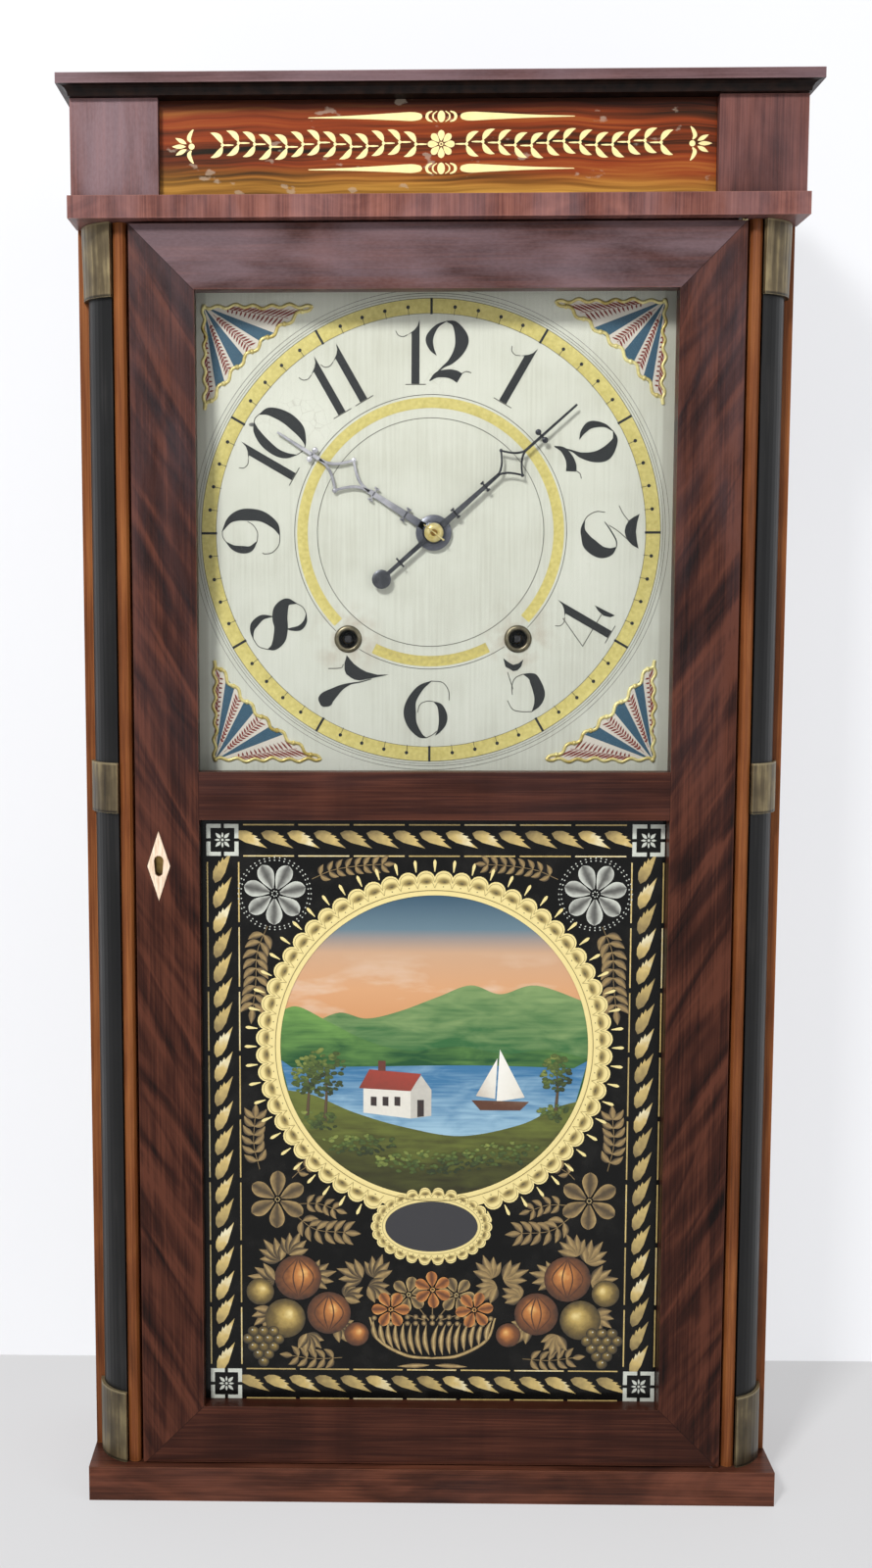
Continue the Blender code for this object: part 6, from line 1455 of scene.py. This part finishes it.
# The clear oval is a glossy dark sheet: painted shade for the unlit inside of the case seen through the
# glass.
clear_oval = Coat()
angles = np.linspace(0.0, 360.0, 73)
clear_oval.patch(np.stack([round_point(OVAL, OVAL_RADII, angles), np.tile(OVAL, (73, 1))]), 0.5)
oval_painted_shade = paint(
    "clear_oval_painted_shade", (0.0, (20, 20, 23)), (1.0, (42, 42, 48)), roughness=0.12, coat=0.6, scale=30.0,
)
clear_oval.lay("tablet_clear_oval", tablet_front - 0.84 * MM, oval_painted_shade, "door")


# The picture is a lake view in oil colours on the glass: an evening sky, two ranges of green hills, water,
# a white cottage, a sailing boat and trees, all in plain brush work.
def evening_sky():
    """Blue above, fading to apricot lower down, with long pale clouds from level noise."""
    material, tree, shader, place = finish_of(
        "evening_sky", 0.45, coat=0.2, coat_roughness=0.05, specular=0.3,
    )
    z = apart(tree, place)[2]
    height = spread(tree, z, 0.318, 0.418)
    sky = ramp(
        tree, height, (0.0, (198, 138, 88)), (0.35, (208, 156, 112)), (0.60, (196, 158, 126)),
        (0.76, (98, 122, 134)), (1.0, (48, 78, 98)),
    )
    puff = noise(tree, stretched(tree, place, 16.0, 0.0, 60.0), 1.0, 4.0)
    belt = calc(tree, "MULTIPLY", spread(tree, height, 0.06, 0.2), spread(tree, height, 0.62, 0.4))
    cloud = calc(tree, "MULTIPLY", spread(tree, puff, 0.52, 0.68), belt)
    feed(tree, shader, {"Base Color": laid_over(tree, sky, (220, 206, 188), cloud, 0.6)})
    return material


def brushed(name, low, high, foot, top, marks=360.0):
    """One colour at the foot and another at the top, carried into each other by level brush marks and by
    slow patches of light and dark."""
    material, tree, shader, place = finish_of(name, 0.45, coat=0.2, coat_roughness=0.05, specular=0.3)
    mark = noise(tree, stretched(tree, place, 24.0, 0.0, marks), 1.0, 4.0)
    height = spread(tree, apart(tree, place)[2], foot, top)
    patch = noise(tree, stretched(tree, place, 34.0, 0.0, 110.0), 1.0, 3.0, 0.8)
    marked = calc(tree, "SUBTRACT", mark, 0.5)
    uneven = calc(tree, "MULTIPLY_ADD", calc(tree, "SUBTRACT", patch, 0.5), 1.5, marked)
    value = calc(tree, "ADD", height, uneven)
    feed(tree, shader, {"Base Color": ramp(tree, value, (0.0, low), (1.0, high))})
    return material


def ground(name, ridge, depth, material):
    """Everything under a ridge line, down to the lower half of the picture's circle."""
    line = eased(ridge, 8)
    drop = np.maximum(0.0, (PICTURE_RADIUS + 0.4) ** 2 - (line[:, 0] - PICTURE[0]) ** 2)
    foot = PICTURE[1] - np.sqrt(drop)
    top = np.maximum(line[:, 1], foot)
    share = np.array([0.0, 0.5, 1.0])[:, None]
    coat = Coat()
    coat.patch(np.stack([np.tile(line[:, 0], (3, 1)), top + (foot - top) * share], axis=2))
    coat.lay(name, tablet_front - depth * MM, material, "door")


sky = Coat()
sky.disc(PICTURE, PICTURE_RADIUS + 0.5, count=96)
sky.lay("picture_sky", tablet_front - 0.06 * MM, evening_sky(), "door")
west = PICTURE[0] - PICTURE_RADIUS
east = PICTURE[0] + PICTURE_RADIUS
ground(
    "picture_far_hills",
    [
        (west, 322), (-80, 330), (-62, 337), (-44, 333), (-22, 338),
        (4, 348), (26, 356), (46, 350), (70, 356), (east, 344),
    ],
    0.08, brushed("far_hill_green", (44, 98, 52), (126, 152, 96), 0.30, 0.36),
)
ground(
    "picture_near_hills",
    [
        (west, 338), (-90, 341), (-70, 331), (-44, 318), (-16, 311),
        (18, 314), (50, 309), (78, 312), (east, 306),
    ],
    0.10, brushed("near_hill_green", (22, 74, 38), (104, 146, 72), 0.295, 0.34),
)
ground(
    "picture_lake", [(west, 299), (-40, 300), (30, 301), (east, 299)],
    0.12, brushed("lake_blue", (150, 184, 202), (58, 112, 152), 0.245, 0.30, 660.0),
)
ground(
    "picture_bank",
    [(west, 284), (-80, 280), (-52, 268), (-18, 258), (20, 252), (60, 260), (84, 272), (east, 278)],
    0.14, brushed("bank_green", (52, 50, 20), (98, 106, 44), 0.205, 0.28),
)
ground(
    "picture_foreground", [(west, 252), (-70, 248), (-30, 236), (10, 228), (50, 232), (east, 240)],
    0.16, brushed("foreground_green", (40, 38, 16), (76, 80, 32), 0.205, 0.25, 180.0),
)

foliage, trunks, walls, roofs, sails = Coat(), Coat(), Coat(), Coat(), Coat()


def leaf_dabs(middle, half, count, size):
    """Dabs of the brush inside an oval, from its foot up, lighter towards the upper left."""
    turn, reach = rng.uniform(0, 2 * np.pi, count), np.sqrt(rng.uniform(0, 1, count))
    places = np.column_stack([half[0] * reach * np.cos(turn), half[1] * reach * np.sin(turn)])
    places = places[np.argsort(places[:, 1])]
    for u, v in places:
        light = 0.5 + 0.28 * (v / half[1] - u / half[0]) + rng.uniform(-0.2, 0.2)
        place = (middle[0] + u, middle[1] + v)
        if math.dist(place, PICTURE) < PICTURE_RADIUS - 4:
            radius = size * rng.uniform(0.6, 1.1)
            foliage.disc(place, radius, light, light - 0.22, 8, 0.6, rng.uniform(-0.6, 0.6))


for x, z, height in ((-72, 262, 46), (-84, 266, 36), (84, 270, 34)):
    stem = [(x, z, 2.4), (x + 1.2, z + height * 0.5, 1.6), (x, z + height * 0.8, 0.7)]
    trunks.stroke(stem, (0.3, 0.7, 0.1), 3)
    leaf_dabs((x, z + height * 0.76), (height * 0.30, height * 0.38), 90, 2.3)
for x, z, wide, high, count in (
    (-78, 262, 16, 7, 70), (-50, 246, 30, 7, 90), (0, 234, 40, 8, 130), (52, 240, 30, 8, 90),
    (84, 268, 12, 6, 50),
):
    leaf_dabs((x, z), (wide, high), count, 2.0)
walls.shape([(-46, 268), (-14, 264), (-14, 284), (-46, 286)], 0.9)
walls.shape([(-14, 264), (0, 266), (0, 284), (-7, 294), (-14, 284)], 0.5)
roofs.shape([(-49, 285), (-14, 283), (-7, 295), (-42, 298)], (0.6, 0.7, 0.9, 0.8))
roofs.shape([(-36, 297), (-31, 297), (-31, 304), (-36, 304)], 0.35)
for x in (-41, -33, -25):
    roofs.shape([(x, 273), (x + 4, 272.6), (x + 4, 279), (x, 279.2)], 0.0)
roofs.shape([(-9.5, 265), (-5, 265.6), (-5, 277), (-9.5, 277)], 0.0)
sails.shape([(44, 276), (46, 312), (63, 279)], (0.9, 1.0, 0.7))
sails.shape([(43, 278), (44.4, 306), (30, 280)], (0.75, 0.95, 0.6))
sails.shape([(27, 277), (66, 276), (60, 270), (33, 270)], (0.0, 0.1, 0.0, 0.0))
trunk_paint = paint("trunk_brown", (0.0, (46, 36, 24)), (1.0, (104, 82, 54)), roughness=0.45)
foliage_paint = paint(
    "foliage_green", (0.0, (36, 46, 18)), (0.5, (74, 92, 36)), (1.0, (136, 144, 68)),
    roughness=0.45, mottle=0.3,
)
wall_paint = paint("cottage_white", (0.0, (140, 136, 128)), (1.0, (222, 218, 206)), roughness=0.45)
roof_paint = paint(
    "cottage_red", (0.0, (46, 38, 36)), (0.4, (100, 50, 38)), (1.0, (164, 60, 46)), roughness=0.45,
)
sail_paint = paint(
    "sail_white", (0.0, (86, 50, 32)), (0.4, (150, 124, 98)), (0.8, (222, 218, 206)), (1.0, (234, 232, 224)),
    roughness=0.45, mottle=0.1,
)
walls.lay("picture_cottage_walls", tablet_front - 0.18 * MM, wall_paint, "door")
roofs.lay("picture_cottage_roof", tablet_front - 0.20 * MM, roof_paint, "door")
sails.lay("picture_sailing_boat", tablet_front - 0.18 * MM, sail_paint, "door")
trunks.lay("picture_trunks", tablet_front - 0.18 * MM, trunk_paint, "door")
foliage.lay("picture_foliage", tablet_front - 0.22 * MM, foliage_paint, "door", 0.0006)

# Stencilled sprays of flowers, fruit and leaves fill the black ground between the ring and the border.
# They are rubbed in silver, bronze and copper powders that fade into the black.
bronze_work, copper_work, fruit_gilt, highlights = Coat(), Coat(), Coat(), Coat()


def spray(coat, path, length, width, spacing=6.0, tones=(0.25, 0.75, 0.5)):
    """Pairs of leaves at even steps along a curved stem, and one at its end."""
    line = eased(path, 24)
    coat.stroke(np.column_stack([line[::6], np.full(len(line[::6]), 0.5)]), (0.5, 0.6, 0.5), steps=2)
    travelled = np.concatenate([[0.0], np.cumsum(np.linalg.norm(np.diff(line, axis=0), axis=1))])
    for distance in np.arange(spacing, travelled[-1], spacing):
        k = int(np.searchsorted(travelled, distance))
        step = line[k] - line[k - 1]
        for sign in (-1, 1):
            turn = math.atan2(step[1], step[0]) + sign * 0.85
            tip = line[k] + length * direction(turn)
            coat.leaf(line[k], tip, width, tones, 0.12 * sign)
    end = line[-1] - line[-3]
    coat.leaf(line[-1], line[-1] + end / np.linalg.norm(end) * length, width, tones)


# Leaves about the fruit: where each fans out from, its length and the way it turns.
CLUSTER = (
    (104, 164, 34, 0.9), (108, 150, 34, 0.15), (98, 168, 32, 2.0), (110, 128, 30, -0.7), (84, 152, 34, 2.9),
    (66, 118, 30, 3.7), (86, 112, 30, -1.9), (60, 138, 26, 2.6), (48, 152, 34, 0.35), (40, 152, 32, 1.9),
    (44, 146, 30, 3.5),
)
# Fruit: its place and its radius.
FRUITS = ((92, 152, 16.0), (71, 127, 15.0), (101, 123, 14.0), (118, 142, 9.5), (52, 112, 8.5))
# Sprays: the stem's path, and the length and width of a leaf.
SPRAYS = (
    ([(82, 428), (68, 434), (50, 437), (34, 438)], 7.5, 3.6),
    ([(112, 396), (119, 378), (120, 358), (122, 340)], 11.0, 4.8),
    ([(118, 228), (122, 246), (121, 264)], 10.0, 4.6),
    ([(94, 196), (80, 186), (60, 184)], 11.0, 4.6),
    ([(62, 95), (80, 94), (96, 96)], 9.0, 4.2),
    ([(96, 222), (92, 226), (86, 230)], 7.0, 3.6),
    ([(92, 204), (78, 204), (66, 200)], 8.0, 3.8),
)


def at(out, height):
    """A place on the tablet's present side, from how far out it is and its height."""
    return np.array([TABLET[0] + side * out, height])


for side in (-1, 1):
    heart = at(107, 418)
    flower(silver_work, heart, 7, 21.0, 11.0, 0.2, 3.6, (0.95, 0.22, 0.8))
    for angle in 2 * np.pi * np.arange(44) / 44:
        for radius in (22.6, 24.4):
            silver_work.disc(heart + radius * direction(angle), 0.5, 0.85, count=8)
    flower(bronze_work, at(106, 207), 6, 20.0, 10.5, 0.5, 2.8, (0.8, 0.3, 0.7))
    for path, length, width in SPRAYS:
        spray(bronze_work, [at(*point) for point in path], length, width)
    for out, height, length, turn in CLUSTER:
        for k in range(5):
            lobe = turn + (k - 2) * 0.42
            far = 0.55 * length * (1 - 0.12 * abs(k - 2))
            tip = at(out + far * math.cos(lobe), height + far * math.sin(lobe))
            bronze_work.leaf(at(out, height), tip, 6.4, (0.1, 0.8, 0.5))
    for out, height, radius in FRUITS:
        lift = (-side * radius * 0.25, radius * 0.25)
        powder = copper_work if radius > 14.5 or radius < 9.0 else fruit_gilt
        powder.disc(at(out, height), radius, 1.0, 0.1, 28, lift=lift)
    for out, height, radius in FRUITS[:2]:
        for rib in (-0.66, -0.22, 0.22, 0.66):
            bow = [(out, height + 0.9 * radius), (out + rib * radius, height), (out, height - 0.9 * radius)]
            copper_work.stroke([(*at(*point), 1.0) for point in bow], (0.3, 0.12, 0.3), steps=6)
    for row, number in enumerate((1, 2, 3, 4, 3)):
        for k in range(number):
            grape = at(116 + (k - (number - 1) / 2) * 7.0, 92 + row * 5.4)
            fruit_gilt.disc(grape, 3.9, 0.62, 0.0, 14, lift=(-side * 1.0, 1.0))
            highlights.disc(grape + (side * 0.6, 1.0), 0.55, 0.9, count=8)
    rim = [(0, 95, 1.4), (18, 97, 2.2), (37, 108, 2.0), (43, 124, 1.2)]
    bronze_work.stroke([(*at(out, height), width) for out, height, width in rim], (0.6, 0.9, 0.5))
    for k in range(8):
        tip = at(4 + 5.2 * k, 119 + 0.4 * k)
        bronze_work.leaf(at(2 + 5 * k, 97 + 0.2 * k * k), tip, 3.8, (0.3, 0.95, 0.4), 0.1)
    bronze_work.leaf(at(2, 90), at(24, 89), 3.4, (0.4, 0.9, 0.4))
for k in range(5):
    lean = (k - 2) * 0.5
    head = (TABLET[0] + 34 * math.sin(lean), 113 + 31 * math.cos(lean))
    bronze_work.stroke([(TABLET[0] + (k - 2) * 2.5, 122, 0.8), (*head, 0.6)], (0.5, 0.6, 0.5), steps=4)
    flower(copper_work if k % 2 == 0 else bronze_work, head, 6, 13.0, 7.6, 0.3 * k, 2.4, (0.9, 0.3, 0.8))
for row, (number, height) in enumerate(((15, 124.5), (13, 120.0))):
    for k in range(number):
        step = k - (number - 1) / 2
        bronze_work.disc((TABLET[0] + step * 5.7, height - 0.02 * step**2), 1.9, 0.95, 0.3, 12)
silver = bronze_powder("silver_powder", (24, 24, 24), (108, 108, 102), (186, 188, 178), (206, 210, 198))
bronze = bronze_powder("bronze_powder", (18, 15, 11), (84, 68, 42), (156, 130, 82), (206, 182, 126))
copper = bronze_powder("copper_powder", (20, 14, 10), (112, 64, 28), (184, 116, 54), (226, 176, 102))
pale_gilt = bronze_powder("pale_gilt_powder", (20, 17, 10), (112, 92, 44), (188, 160, 88), (228, 206, 140))
silver_work.lay("tablet_silver_stencils", tablet_front - 0.08 * MM, silver, "door")
bronze_work.lay("tablet_bronze_stencils", tablet_front - 0.10 * MM, bronze, "door")
copper_work.lay("tablet_copper_stencils", tablet_front - 0.40 * MM, copper, "door")
fruit_gilt.lay("tablet_gilt_fruit", tablet_front - 0.56 * MM, pale_gilt, "door")
highlights.lay("tablet_grape_highlights", tablet_front - 0.58 * MM, silver, "door")


# The clock stands on a white table close before a white wall, both a little uneven. They light themselves
# in part where they are seen, so that they stay pale while they keep the clock's shadow.
def seen_directly(tree):
    """1 for rays from the camera, from a reflection or through glass."""
    ray = put(tree, "LightPath").outputs
    seen = calc(tree, "MAXIMUM", ray["Is Camera Ray"], ray["Is Glossy Ray"])
    return calc(tree, "MAXIMUM", seen, ray["Is Transmission Ray"])


def pale_surface(name, colour, own_light, open_behind):
    """A matt surface mixed with its own light where it is seen. One that is open behind is clear from its
    back and to soft light, so that the clock's back is lit and can be looked at."""
    material, tree, shader, place = finish_of(name, 0.7, specular=0.2)
    cloud = noise(tree, place, 3.0, 2.0)
    shade = mixed(tree, cloud, linear(*colour), linear(*(channel + 4 for channel in colour)))
    feed(tree, shader, {"Base Color": shade})
    seen = seen_directly(tree)
    glow = put(tree, "Emission", {"Color": shade, "Strength": 1.0})
    share = calc(tree, "MULTIPLY", seen, own_light)
    surface = put(tree, "MixShader", {0: share, 1: shader.outputs[0], 2: glow.outputs[0]}).outputs[0]
    if open_behind:
        back = put(tree, "NewGeometry").outputs["Backfacing"]
        gone = calc(tree, "MAXIMUM", back, calc(tree, "SUBTRACT", 1.0, seen))
        clear = put(tree, "BsdfTransparent").outputs[0]
        surface = put(tree, "MixShader", {0: gone, 1: surface, 2: clear}).outputs[0]
    tree.links.new(surface, tree.nodes["Material Output"].inputs["Surface"])
    return material


def flat_sheet(name, corners, material):
    """One large face through four corners."""
    mesh = bpy.data.meshes.new(name)
    mesh.from_pydata(corners, [], [(0, 1, 2, 3)])
    mesh.materials.append(material)
    surface = bpy.data.objects.new(name, mesh)
    bpy.context.scene.collection.objects.link(surface)


WALL_Y = 0.166
REACH = 4.0
table_corners = [(-REACH, -REACH, 0.0), (REACH, -REACH, 0.0), (REACH, REACH, 0.0), (-REACH, REACH, 0.0)]
wall_corners = [(-REACH, WALL_Y, 0.0), (REACH, WALL_Y, 0.0), (REACH, WALL_Y, REACH), (-REACH, WALL_Y, REACH)]
flat_sheet("white_table", table_corners, pale_surface("table_white", (226, 226, 227), 0.55, False))
flat_sheet("white_wall", wall_corners, pale_surface("wall_white", (245, 246, 249), 0.72, True))


# A window-like lamp stands to the left, above and before the clock, so that the door's top rail shades the
# dial and the hands throw shadows to the lower right. A wide weak lamp and a pale room fill the rest.
def lamp(name, size, power, place, target):
    """A square lamp of a given side that faces its target: its -Z axis runs from its place to there."""
    data = bpy.data.lights.new(name, "AREA")
    data.shape = "SQUARE"
    data.size = size
    data.energy = power
    light = bpy.data.objects.new(name, data)
    light.location = place
    light.rotation_euler = (Vector(target) - Vector(place)).to_track_quat("-Z", "Y").to_euler()
    bpy.context.scene.collection.objects.link(light)


lamp("window_light", 0.45, 74.0, (-1.05, -2.25, 2.25), (0.0, 0.0, 0.5))
lamp("fill_light", 2.0, 14.0, (2.0, -2.2, 1.2), (0.0, 0.0, 0.5))
room = bpy.data.worlds.new("pale_room")
room.use_nodes = True
tree = room.node_tree
strength = calc(tree, "MULTIPLY_ADD", seen_directly(tree), 0.32, 0.42)
feed(tree, tree.nodes["Background"], {"Color": (0.96, 0.97, 1.0, 1.0), "Strength": strength})
bpy.context.scene.world = room
